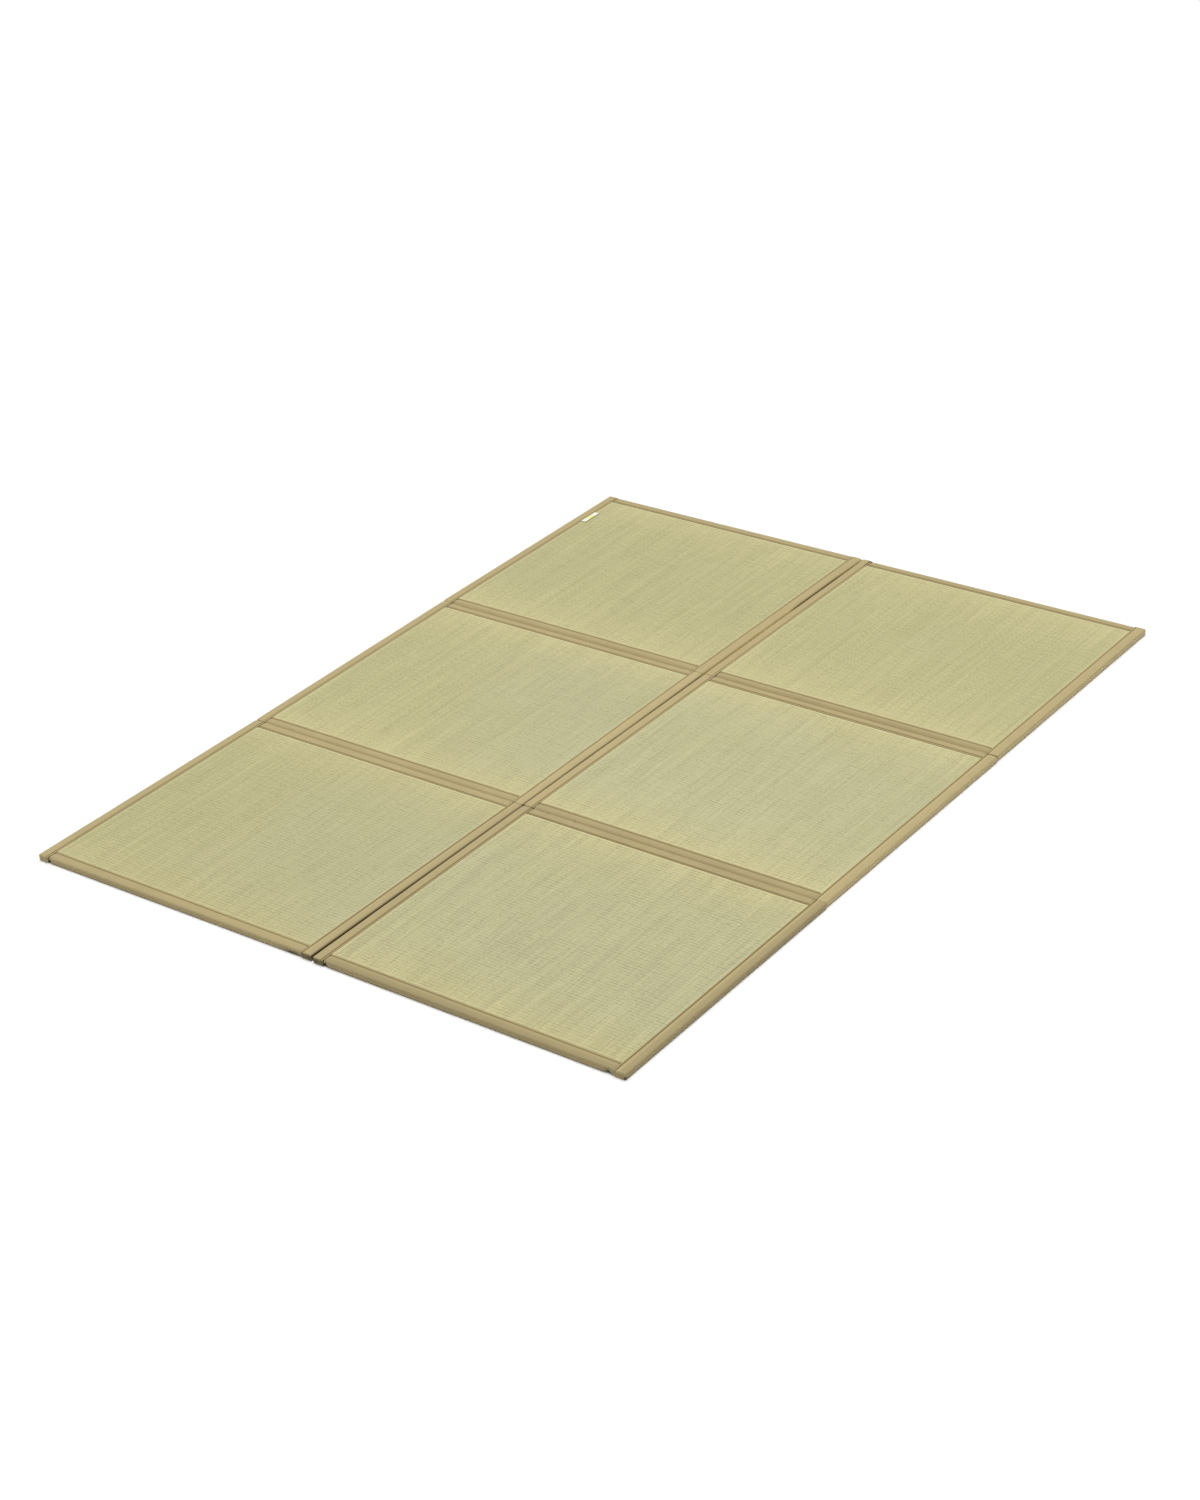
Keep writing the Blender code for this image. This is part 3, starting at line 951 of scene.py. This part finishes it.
def side_stations(panel):
    """(v, inset) along a side tape: inset draws the section in at a folded end."""
    low = -HALF_LENGTH + (JOINT_GAP if panel.is_joint(-1) else END_RADIUS - END_REACH)
    high = HALF_LENGTH - (JOINT_GAP if panel.is_joint(1) else END_RADIUS - END_REACH)
    steps = even_steps(low, high, TAPE_STEP)
    steps[1:1] = [low + step for step in END_FINE_STEPS]
    steps[-1:-1] = [high - step for step in reversed(END_FINE_STEPS)]
    stations = [(v, 0.0) for v in steps]
    arc = []
    for step in range(1, END_ARC_STEPS + 1):
        angle = math.pi / 2 * step / END_ARC_STEPS
        arc.append((END_RADIUS * math.sin(angle), END_RADIUS * (1 - math.cos(angle))))
    arc += [(END_RADIUS + reach, inset) for reach, inset in END_CLOSING]
    if not panel.is_joint(-1):
        stations = [(low - reach, inset) for reach, inset in reversed(arc)] + stations
    if not panel.is_joint(1):
        stations += [(high + reach, inset) for reach, inset in arc]
    return stations


def narrower(distance, inner):
    """Draws a section's inner part in, where the rush field reaches further under it."""
    return distance - inner * max(0.0, (distance - NARROWED_FROM) / (TAPE_WIDTH - NARROWED_FROM))


def tape_shape(distance, height, along, seed, seam_moved=0.0):
    """Adds the hand-sewn unevenness to a point of the section: puckers at the seam, a wavering edge."""
    from_inner = TAPE_WIDTH - distance
    distance += seam_moved * bell(from_inner - SEAM_FROM_INNER, SEAM_PULL)
    if height > MID_HEIGHT:
        seam = bell(from_inner - SEAM_FROM_INNER, SEAM_SPREAD)
        height += SEAM_PUCKER * seam * ripple(along, 0, 0.0075, seed)
        height += TAPE_WAVE * ripple(along, from_inner, 0.032, seed + 1)
        if from_inner < 2.5 * MM:
            distance += INNER_WOBBLE * ripple(along, 0, 0.022, seed + 2)
    near_edge = max(0.0, 1 - distance / WOBBLE_REACH)
    return distance + EDGE_WOBBLE * near_edge * ripple(along, 0, 0.11, seed + 3), height


print(len(side_stations(panels["left", "far"])), "stations along a side tape of the far row")

# %% [markdown]
# What differs from one side tape to the next is kept in tables: its tone, how it meets each joint, and how
# dark the painted shade in the narrow gap between the strips is along its length.

# %% What differs between side tapes
SIDE_LOOKS = {
    # tone of the left and the right tape, shade of the seam, painted light low on the outer face, the painted
    # highlight beside the right tape's seam, and how much painted shade darkens the outer tape's outer half
    "left_far": (0.90, 0.93, 0.9, 1.1, 0.0, 0.0),
    "left_mid": (0.91, 0.97, 0.9, 1.1, 0.05, 0.0),
    "left_near": (0.89, 0.88, 1.05, 1.0, 0.07, 0.0),
    "right_far": (0.92, 0.93, 0.9, 1.28, 0.05, 0.0),
    "right_mid": (0.94, 0.94, 1.1, 1.2, 0.09, 0.0),
    "right_near": (0.86, 0.82, 1.3, 1.0, 0.17, 0.07),
}
JOINT_MARKS = {
    # strip, joint line: how far the left and the right tape's end follow the hinge's groove, and how dark
    # each one's painted shade is there
    ("left", "far_joint"): {-1: (0.35, 0.15), 1: (0.30, 0.15)},
    ("left", "near_joint"): {-1: (0.50, 0.60), 1: (0.25, 0.10)},
    ("right", "far_joint"): {-1: (0.45, 0.40), 1: (0.65, 1.20)},
    ("right", "near_joint"): {-1: (0.50, 0.60), 1: (0.20, 0.10)},
}
# How far in from the edge the painted shade of the gap between the strips reaches on the tape.
GAP_REACH = {"far": 3.0 * MM, "mid": 4.5 * MM, "near": 6.0 * MM}
GAP_TOP = THICKNESS - 0.0020
GAP_DEPTH = 0.003
GAP_LIP = 3 * MM
GAP_SLOPE = 0.3
GAPS = {
    # share of the row's length from its far end, how dark the gap's painted shade is, how wide,
    # and how much painted light its faces get
    "far": (
        (0.00, 0.05, 1.0, 1.30), (0.12, 0.10, 1.0, 1.25), (0.17, 0.42, 1.2, 1.00),
        (0.41, 0.42, 1.2, 1.00), (0.47, 0.00, 1.0, 1.60), (1.00, 0.00, 1.0, 1.45),
    ),
    "mid": ((0.0, 0.35, 1.0, 1.05), (0.45, 0.65, 1.0, 0.85), (0.65, 1.0, 3.0, 0.55), (1.0, 1.0, 7.0, 0.35)),
    "near": ((0.0, 1.0, 1.0, 0.50), (1.0, 1.0, 1.0, 0.42)),
}


def along_gap(row, share):
    """The gap's painted shade, how dark and wide, and its faces' painted light, at a share of a row's length.
    """
    marks = GAPS[row]
    for first, second in zip(marks, marks[1:]):
        if share <= second[0]:
            break
    blend = clamp((share - first[0]) / (second[0] - first[0]))
    return [start + (stop - start) * blend for start, stop in zip(first[1:], second[1:])]


print("the gap halfway along each row", {row: along_gap(row, 0.5) for row in GAPS})

# %% [markdown]
# One function lays a side tape. Its inner function says where a point of the grid lies and how it looks, in
# the order in which the cloth was treated: sewn on, cut off at a joint and folded down at a free end, with
# its painted light and shade added along the way.

# %% Side tapes
CORNER_ROUND = 0.0050
CORNER_LEAST = 0.2
SEAM_BAND = 0.002
LIGHT_RATE = 2.4
NEAR_GAP_LIGHT_RATE = 4.5
OUTER_SHADE_FROM = 16 * MM
OUTER_SHADE_RAMP = 4 * MM
RIGHT_SEAM_MOVED = 1.5 * MM
SEAM_HIGHLIGHT_PLACE = 19 * MM
SEAM_HIGHLIGHT_SPAN = 2.3 * MM
# Painted light, and less painted shade, on the folded ends' caps.
CAP_LIGHT = 0.25
CAP_SHADE = 0.5
# At the far end the two strips' inner tapes bulge and nearly touch, and are folded down almost square.
CLOSED_BY = 1.5 * MM
CLOSED_LENGTH = 0.060
CLOSED_INSET = 0.05
# The painted shade in the right strip's inner tape's seam is deeper where it crosses the far end tape.
CROSSING_LENGTH = 0.032
CROSSING_RAMP = 6 * MM
CROSSING_SHADE = 1.5
CROSSING_DARK = 0.4
# Painted shade darkens the right strip's outer near corner low down, standing for an opening in the fold.
TIP_REACH = 0.0032
TIP_SHADE = 0.9


def outer_share(distance):
    """1 on the outer half of a tape, falling to 0 towards its seam."""
    return clamp((OUTER_SHADE_FROM - distance) / OUTER_SHADE_RAMP)


def make_side_tape(panel, side):
    outer = side == (-1 if panel.strip == "left" else 1)
    stations = side_stations(panel)
    seed = 10 * panel.middle + 3 * side + LINE_PLACES[panel.far_line]
    left_tone, right_tone, seam_shade, outer_light, seam_highlight, outer_half_shade = SIDE_LOOKS[panel.name]
    section = TIGHT_SECTION if side == (1 if panel.name == "right_far" else -1) else SECTION
    light_rate = NEAR_GAP_LIGHT_RATE if not outer and panel.row == "near" else LIGHT_RATE
    gap_reach = GAP_REACH[panel.row]
    seam_moved = RIGHT_SEAM_MOVED if side > 0 else 0.0

    def where(i, j):
        distance, height, shade = section[i]
        v, inset = stations[j]
        distance, height = tape_shape(distance, height, v, seed, seam_moved)
        end = 1 if v > 0 else -1
        from_end = HALF_LENGTH - abs(v)
        at_joint = panel.is_joint(end)
        if at_joint:
            line = panel.end_line(end)
            follow, corner_shade = JOINT_MARKS[panel.strip, line][side]
            height = hinge_fit(height, max(0.0, from_end), line, follow)
            if from_end < CORNER_ROUND:
                off = CORNER_ROUND - math.sqrt(max(0.0, CORNER_ROUND ** 2 - (CORNER_ROUND - from_end) ** 2))
                off_share = CORNER_LEAST + (1 - CORNER_LEAST) * follow
                distance += off_share * off * (1 - distance / TAPE_WIDTH)
                # Painted shade in the crevice of the rounded corner at the joint.
                shade = max(shade, corner_shade * off / CORNER_ROUND)
        gap_dark, gap_width, gap_light = along_gap(panel.row, 0.5 - v / PANEL_LENGTH)
        # Painted shade in the narrow gap between the strips.
        if not outer and distance < gap_reach:
            depth = max(0.0, GAP_TOP - height) + GAP_SLOPE * max(0.0, gap_reach - distance - GAP_LIP)
            shade = max(shade, gap_dark * min(1.0, gap_width * depth / GAP_DEPTH))
        if height > THICKNESS - SEAM_BAND:
            shade = min(1.0, shade * seam_shade)
        far_inner = not outer and end > 0 and not at_joint
        if far_inner and distance < TAPE_WIDTH / 2:
            distance -= CLOSED_BY * clamp(1 - from_end / CLOSED_LENGTH) * (1 - 2 * distance / TAPE_WIDTH)
        if inset > 0:
            distance += inset * (CLOSED_INSET if far_inner else 1.0) * (1 - distance / TAPE_WIDTH)
            height = MID_HEIGHT + (height - MID_HEIGHT) * (1 - inset / MID_HEIGHT)
        lowness = max(0.0, 1 - 2 * height / THICKNESS)
        # Painted light and shade low on the tape's side: lighter on the outer face, and lighter or darker on
        # the faces in the gap between the strips.
        low_light = outer_light if outer else gap_light
        light = 1 + (low_light - 1) * clamp(light_rate * (1 - height / THICKNESS))
        # Painted shade on the outer half of an outer tape.
        if outer:
            light -= outer_half_shade * outer_share(distance)
        # Painted highlight beside the right tape's seam.
        if side > 0 and height > MID_HEIGHT:
            light += seam_highlight * bell(distance - SEAM_HIGHLIGHT_PLACE, SEAM_HIGHLIGHT_SPAN)
        # Deeper painted shade in the seam where the tape crosses the far end tape.
        if far_inner and panel.strip == "right" and shade > 0.1 and distance > TAPE_WIDTH / 2:
            crossing = clamp((CROSSING_LENGTH - from_end) / CROSSING_RAMP)
            shade = min(1.0, shade * (1 + CROSSING_SHADE * crossing))
            light -= CROSSING_DARK * crossing
        # Painted light on the folded end's cap low down, and less painted shade there.
        if inset > 0:
            light += CAP_LIGHT * lowness
            shade *= CAP_SHADE
        # Painted shade low in the right strip's outer near corner.
        if panel.name == "right_near" and outer and end < 0:
            tip = bell(from_end + END_REACH, TIP_REACH) * bell(distance, TIP_REACH) * min(1.0, 3 * lowness)
            light -= TIP_SHADE * tip
            shade = max(shade, tip)
        return panel.point(side * (HALF_WIDTH - distance), v, height), shade, light

    tone = right_tone if side > 0 else left_tone
    work, ends = lay_sheet(SECTION, [v for v, _ in stations], where, tone)
    for end, verts in ends.items():
        if not panel.is_joint(end):
            edges = [edge for edge in work.edges if edge.is_boundary and set(edge.verts) <= set(verts)]
            first, last = [vert for vert in verts if sum(edge in edges for edge in vert.link_edges) == 1]
            edges.append(work.edges.new((first, last)))
            bmesh.ops.edgeloop_fill(work, edges=edges)
    face_out(work, panel.point(side * (HALF_WIDTH - TAPE_WIDTH / 2), 0, MID_HEIGHT))
    name = f"{'outer' if outer else 'inner'}_{panel.name}"
    piece = finish_piece(f"binding_{name}", work, tape_material, "tape", (f"tape_{name}",))
    return thicken(piece)


side_tapes = [make_side_tape(panel, side) for panel in panels.values() for side in (-1, 1)]
print(len(side_tapes), "side tapes, the first with", len(side_tapes[0].data.polygons), "faces")

# %% [markdown]
# The end tapes and the hinge bands cross the strip and pass under both side tapes, so their sheets dip near
# their ends. Beside each folded corner the end tape is drawn in and carries painted shade, which gives the
# small hollows seen at the near ones.

# %% End tapes
CROSS_TUCK = 0.0052
DIP = 0.0019
DIP_START = 0.0285
DIP_END = 0.0320
DIP_STATIONS = (CROSS_TUCK, 0.020, 0.0236, 0.027, DIP_START, 0.030, DIP_END)
SEAM_DIP = 0.0006
FINE_STEP = 0.0035
FINE_COUNT = 10
# A narrow hollow draws the edge in and carries painted shade, and a broad one is only painted shade.
HOLLOW_DEPTH = 0.0028
HOLLOW_REACH = 9 * MM
NARROW_HOLLOW = 0.01
HOLLOWS = {
    # strip, side: how far the hollow lies from the strip's side, how wide it is, and how dark its painted
    # shade is
    ("left", -1): (0.0305, 0.0045, 0.95),
    ("left", 1): (0.0520, 0.0200, 0.75),
    ("right", -1): (0.0315, 0.0055, 0.98),
    ("right", 1): (0.0430, 0.0060, 0.82),
}
END_LOOKS = {
    # tone, and how much painted shade darkens the outer half
    "left_far": (0.86, 0.0),
    "right_far": (0.85, 0.0),
    "left_near": (0.87, 0.02),
    "right_near": (0.81, 0.13),
}


def dip_at(u):
    """How far a crossing sheet lies below its level at u, to pass under the side tapes."""
    from_side = HALF_WIDTH - abs(u)
    share = clamp((DIP_END - from_side) / (DIP_END - DIP_START))
    seam = bell(from_side - TAPE_WIDTH + SEAM_FROM_INNER, SEAM_SPREAD)
    return DIP * share * share * (3 - 2 * share) + SEAM_DIP * seam


def cross_stations():
    """Stations across a strip, close together where the sheet dips and where a hollow may lie."""
    inner = HALF_WIDTH - DIP_END - 0.002
    close = [HALF_WIDTH - place for place in DIP_STATIONS]
    close += [inner - step * FINE_STEP for step in range(FINE_COUNT)]
    inner -= FINE_STEP * FINE_COUNT
    return [-u for u in close] + even_steps(-inner, inner, TAPE_STEP) + close[::-1]


def make_end_tape(panel, end):
    stations = cross_stations()
    seed = 4 * panel.middle + 9 * end
    section = TIGHT_SECTION if end > 0 and panel.strip == "left" else SECTION
    tone, outer_half_shade = END_LOOKS[panel.name]

    def where(i, j):
        distance, height, shade = section[i]
        u = stations[j]
        distance, height = tape_shape(distance, height, u, seed)
        low = 1 - height / THICKNESS
        height = sink(height, dip_at(u))
        place, span, dark = HOLLOWS[panel.strip, 1 if u > 0 else -1]
        hollow = bell(HALF_WIDTH - abs(u) - place, span)
        if end > 0 and height > MID_HEIGHT:
            distance = narrower(distance, FAR_SHOWS_LESS)
        near_edge = max(0.0, 1 - distance / HOLLOW_REACH)
        if span < NARROW_HOLLOW:
            distance += HOLLOW_DEPTH * hollow * near_edge * min(1.0, 0.35 + low)
        # Painted shade in the hollow beside a folded corner.
        light = 1 - dark * hollow * min(1.0, 1.4 * near_edge) * clamp(2.6 * low - 0.9)
        shade = max(shade, (1 - light) ** 2)
        # Painted shade on the outer half.
        light -= outer_half_shade * outer_share(distance) * max(0.0, 1 - 1.5 * low)
        return panel.point(u, end * (HALF_LENGTH - distance), height), shade, light

    work, _ = lay_sheet(SECTION, stations, where, tone)
    face_out(work, panel.point(0, end * (HALF_LENGTH - TAPE_WIDTH / 2), MID_HEIGHT))
    name = f"end_{panel.name}"
    piece = finish_piece(f"binding_{name}", work, tape_material, "tape", (f"tape_{name}",))
    return thicken(piece)


for panel in panels.values():
    for end in (-1, 1):
        if not panel.is_joint(end):
            make_end_tape(panel, end)
print("end tapes at the four free ends")

# %% [markdown]
# A hinge band is two strips of the tape, one over the joint and one under it, each sewn along both its edges
# and pulled together in the middle. The far joint's band lies in a broad soft valley, and the near joint's is
# tighter and shallower.

# %% The bands' sections
HINGES = {
    # strip, joint line: the valley's depth, reach and shift to the far side in mm, tone of the far half and
    # of the near half, how far the near half's seam lies towards the joint in mm, how much darker its painted
    # seam shade is
    ("left", "far_joint"): (3.4, 11.5, 1.0, 0.90, 0.93, 0.0, 1.0),
    ("right", "far_joint"): (3.6, 11.5, 3.5, 0.88, 0.92, 2.2, 1.35),
    ("left", "near_joint"): (2.2, 8.0, 1.5, 0.90, 0.925, -0.8, 1.0),
    ("right", "near_joint"): (2.2, 8.5, 1.5, 0.85, 0.86, -1.6, 1.15),
}
JOINED_ROWS = {"far_joint": ("far", "mid"), "near_joint": ("mid", "near")}
UNDER_VALLEY = (1.6, 9.0, 0.0)
UNDER_SEAM = 23.6
UNDER_SEAM_DEPTH = 0.5
UNDER_STEPS = (-28, -25.8, -23.6, -21.4, -15, -9, -6, -3, 0, 3, 6, 9, 15, 21.4, 23.6, 25.8, 28)
VALLEY_STEPS = 8
VALLEY_FADE = 0.35
VALLEY_SHADE = 0.35
VALLEY_MOST = 0.012
SEWN_LIFT = -0.4
UNSEWN_PUCKER = 0.3
BAND_END = 0.032
CREASE = 0.0005


def valley(distance, depth, reach, shift):
    """How far the band lies below its level at a distance from the joint's middle, all in mm."""
    share = abs(distance - shift) / reach
    return depth * (1 - share ** 2) ** 2 if share < 1 else 0.0


def over_rows(depth, reach, shift):
    """The upper band's section: (distance from the joint, lift, shade), mm, near side first."""
    width = TAPE_WIDTH / MM
    rows = [(-(width - inward), lift, shade) for inward, lift, shade in SEAM_ROWS]
    inner = width - SEAM_ROWS[-1][0] - 2.5
    for step in range(-VALLEY_STEPS, VALLEY_STEPS + 1):
        distance = inner * step / VALLEY_STEPS
        shade = VALLEY_SHADE * valley(distance, 1.0, reach * 0.7, shift)
        rows.append((distance, -valley(distance, depth, reach, shift), shade))
    rows += [(width - inward, lift, shade) for inward, lift, shade in reversed(SEAM_ROWS)]
    return rows


def under_rows():
    """The lower band's section, in the same measure."""
    rows = []
    for distance in UNDER_STEPS:
        seam = UNDER_SEAM_DEPTH if abs(distance) == UNDER_SEAM else 0.0
        rows.append((distance, -valley(distance, *UNDER_VALLEY) - seam, 0.0))
    return rows


print("the far left band's section has", len(over_rows(*HINGES["left", "far_joint"][:3])), "rows")


# %% Hinge bands
def make_band(strip, line, under):
    depth, reach, shift, far_tone, near_tone, seam_moved, seam_darker = HINGES[strip, line]
    far_panel, near_panel = (panels[strip, row] for row in JOINED_ROWS[line])
    rows = under_rows() if under else over_rows(depth, reach, shift)
    stations = cross_stations()
    seed = 6 * far_panel.middle + LINE_PLACES[line] * 2 + (5 if under else 0)

    def where(i, j):
        distance, lift, shade = rows[i]
        distance *= MM
        if not under and distance < 0:
            near_seam = bell(distance + TAPE_WIDTH - SEAM_FROM_INNER, SEAM_PULL)
            distance += seam_moved * MM * near_seam
            shade = min(1.0, shade * (1 + (seam_darker - 1) * near_seam))
        u = stations[j]
        wave = TAPE_WAVE * ripple(u, distance, 0.03, seed)
        pucker = SEAM_PUCKER * (1 if lift < SEWN_LIFT else UNSEWN_PUCKER)
        wave += pucker * ripple(u, distance, 0.009, seed + 1)
        closeness = clamp(1 - (HALF_WIDTH - abs(u) - TAPE_WIDTH) / BAND_END)
        if not under:
            wave += CREASE * closeness * ripple(u + 0.7 * distance, distance * 0.3, 0.009, seed + 2)
        if abs(distance) < VALLEY_MOST:
            lift *= 1 - VALLEY_FADE * closeness
        height = lift * MM - dip_at(u) + wave
        z = -height if under else THICKNESS + height
        if distance < 0 and not under:
            distance = -narrower(-distance, FAR_SHOWS_LESS)
        if distance > 0:
            return far_panel.point(u, -HALF_LENGTH + distance, z), shade, far_tone
        if distance < 0:
            return near_panel.point(u, HALF_LENGTH + distance, z), shade, near_tone
        far_point = far_panel.point(u, -HALF_LENGTH, z)
        near_point = near_panel.point(u, HALF_LENGTH, z)
        return (far_point + near_point) / 2, shade, (far_tone + near_tone) / 2

    work, _ = lay_sheet(rows, stations, where)
    face_out(work, far_panel.point(0, -HALF_LENGTH, MID_HEIGHT))
    name = f"{line.removesuffix('_joint')}_{strip}"
    layer = "under" if under else "over"
    piece = finish_piece(f"band_{layer}_{name}", work, tape_material, "tape", (f"hinge_{name}",))
    return thicken(piece)


for strip, line in HINGES:
    make_band(strip, line, False)
    make_band(strip, line, True)
print(len(HINGES), "hinge bands, over and under")

# %% [markdown]
# The stitches. Thread shows as a short raised grain in each sewn channel, about four and a half millimetres
# from one needle hole to the next. Each stitch is a stretched icosphere, the cheapest round thing there is,
# made straight in place from a matrix that carries its place, direction and size. A few small dark grains in
# the near groove of the right strip are painted shade, standing for the gaps between stitches there.

# %% Stitches
STITCH_PITCH = 0.0046
STITCH_LENGTH = 0.0034
STITCH_WIDTH = 0.00062
STITCH_LIFT = 0.00012
STITCH_LEAN = 0.10
SEAM_TOP = THICKNESS - 0.95 * MM
SEAM_END = 0.012
# Place from the strip's side, and radius, mm.
SHADE_GRAINS = ((28.7, 1.9), (45.7, 1.2), (51.0, 0.9), (56.0, 1.2), (64.0, 0.9), (73.0, 1.1), (145.0, 1.0))
SHADE_GRAIN_TOP = THICKNESS - 1.9 * MM


def add_grain(work, subdivisions, matrix):
    bmesh.ops.create_icosphere(work, subdivisions=subdivisions, radius=1, matrix=matrix)


def sew(work, start, end, height):
    """Stitches from start to end, two points on the mat's plan, in a seam at a height."""
    count = int((end - start).length / STITCH_PITCH)
    turn = (end - start).normalized().to_track_quat("X", "Z").to_matrix().to_4x4()
    for index in range(count):
        middle = start.lerp(end, (index + 0.5) / count)
        slack = ripple(index * 1.0, middle.x + middle.y, 1.7, 2)
        middle.z = height + STITCH_LIFT + 0.00008 * slack
        length = STITCH_LENGTH / 2 * (1 + 0.08 * slack)
        size = Matrix.Diagonal((length, STITCH_WIDTH / 2, STITCH_WIDTH / 2, 1))
        lean = Matrix.Rotation(STITCH_LEAN + 0.06 * slack, 4, "Z")
        add_grain(work, 1, Matrix.Translation(middle) @ turn @ lean @ size)
    return count


total_stitches = 0
for panel in panels.values():
    work = bmesh.new()
    for side in (-1, 1):
        seam_u = HALF_WIDTH - TAPE_WIDTH + SEAM_FROM_INNER - (RIGHT_SEAM_MOVED if side > 0 else 0.0)
        first = panel.point(side * seam_u, -HALF_LENGTH + SEAM_END, 0)
        last = panel.point(side * seam_u, HALF_LENGTH - SEAM_END, 0)
        total_stitches += sew(work, first, last, SEAM_TOP)
    for end in (-1, 1):
        seam_in = narrower(TAPE_WIDTH - SEAM_FROM_INNER, FAR_SHOWS_LESS if end > 0 else 0.0)
        first = panel.point(-FIELD_U, end * (HALF_LENGTH - seam_in), 0)
        last = panel.point(FIELD_U, end * (HALF_LENGTH - seam_in), 0)
        total_stitches += sew(work, first, last, SEAM_TOP)
    finish_piece(f"stitches_{panel.name}", work, thread_material, "tape")
for (strip, line), (depth, _, shift, *_) in HINGES.items():
    work = bmesh.new()
    far_panel = panels[strip, JOINED_ROWS[line][0]]
    first, last = (far_panel.point(u, -HALF_LENGTH + shift * MM, 0) for u in (-FIELD_U, FIELD_U))
    total_stitches += sew(work, first, last, THICKNESS - depth * MM)
    finish_piece(f"stitches_joint_{line.removesuffix('_joint')}_{strip}", work, thread_material, "tape")

# Dark grains of painted shade in the right strip's near groove, where the stitches gap.
work = bmesh.new()
for from_side, radius in SHADE_GRAINS:
    place = panels["right", "mid"].point(-HALF_WIDTH + from_side * MM, -HALF_LENGTH, SHADE_GRAIN_TOP)
    size = Matrix.Diagonal((radius * 1.6 * MM, radius * MM, 0.5 * radius * MM, 1))
    add_grain(work, 2, Matrix.Translation(place) @ size)
finish_piece("knots", work, shade_grain_material, "tape")
print(total_stitches, "stitches and", len(SHADE_GRAINS), "knots")

# %% [markdown]
# The label is a short piece of smooth ribbon, folded once and caught under the tape's inner edge, lying on
# the rush. It is left bare. Its free long edge lifts a little and throws a thin shadow.

# %% Label
LABEL_STEPS = (7, 24)
LABEL_THICKNESS = 0.0009
LABEL_CAUGHT = 0.004
LABEL_LIFT = 0.0004
LABEL_CURL = 0.0008
LABEL_WAVE = 0.0002


def make_label(panel):
    across = even_steps(-LABEL_CAUGHT, LABEL_WIDTH, LABEL_WIDTH / LABEL_STEPS[0])
    along = even_steps(0.0, LABEL_LENGTH, LABEL_LENGTH / LABEL_STEPS[1])
    rows = [(step, 0.0, 0.0) for step in across]

    def where(i, j):
        out = across[i]
        share = max(0.0, out / LABEL_WIDTH)
        lift = LABEL_LIFT + LABEL_CURL * share ** 2 + LABEL_WAVE * ripple(out, along[j], 0.02, 4) * share
        height = RUSH_TOP + LABEL_THICKNESS + lift if out >= 0 else RUSH_TOP + 0.0001
        v = HALF_LENGTH - LABEL_FROM_END - LABEL_LENGTH + along[j]
        return panel.point(-HALF_WIDTH + LABEL_FROM_SIDE + out, v, height), 0.0, 1.0

    work, _ = lay_sheet(rows, along, where)
    face_out(work, panel.point(-HALF_WIDTH + LABEL_FROM_SIDE, 0, 0))
    piece = finish_piece("plain_label", work, label_material, "label", ("label",))
    return thicken(piece, "ribbon", LABEL_THICKNESS)


label = make_label(panels["left", "far"])
print("label", len(label.data.polygons), "faces")

# %% [markdown]
# Last, the triangles of all the pieces made are counted and printed.

# %% Count the triangles
triangles = 0
for piece in bpy.data.objects:
    if piece.type == "MESH" and "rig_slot" in piece:
        triangles += sum(len(face.vertices) - 2 for face in piece.data.polygons)
print("triangles before thickness", triangles)
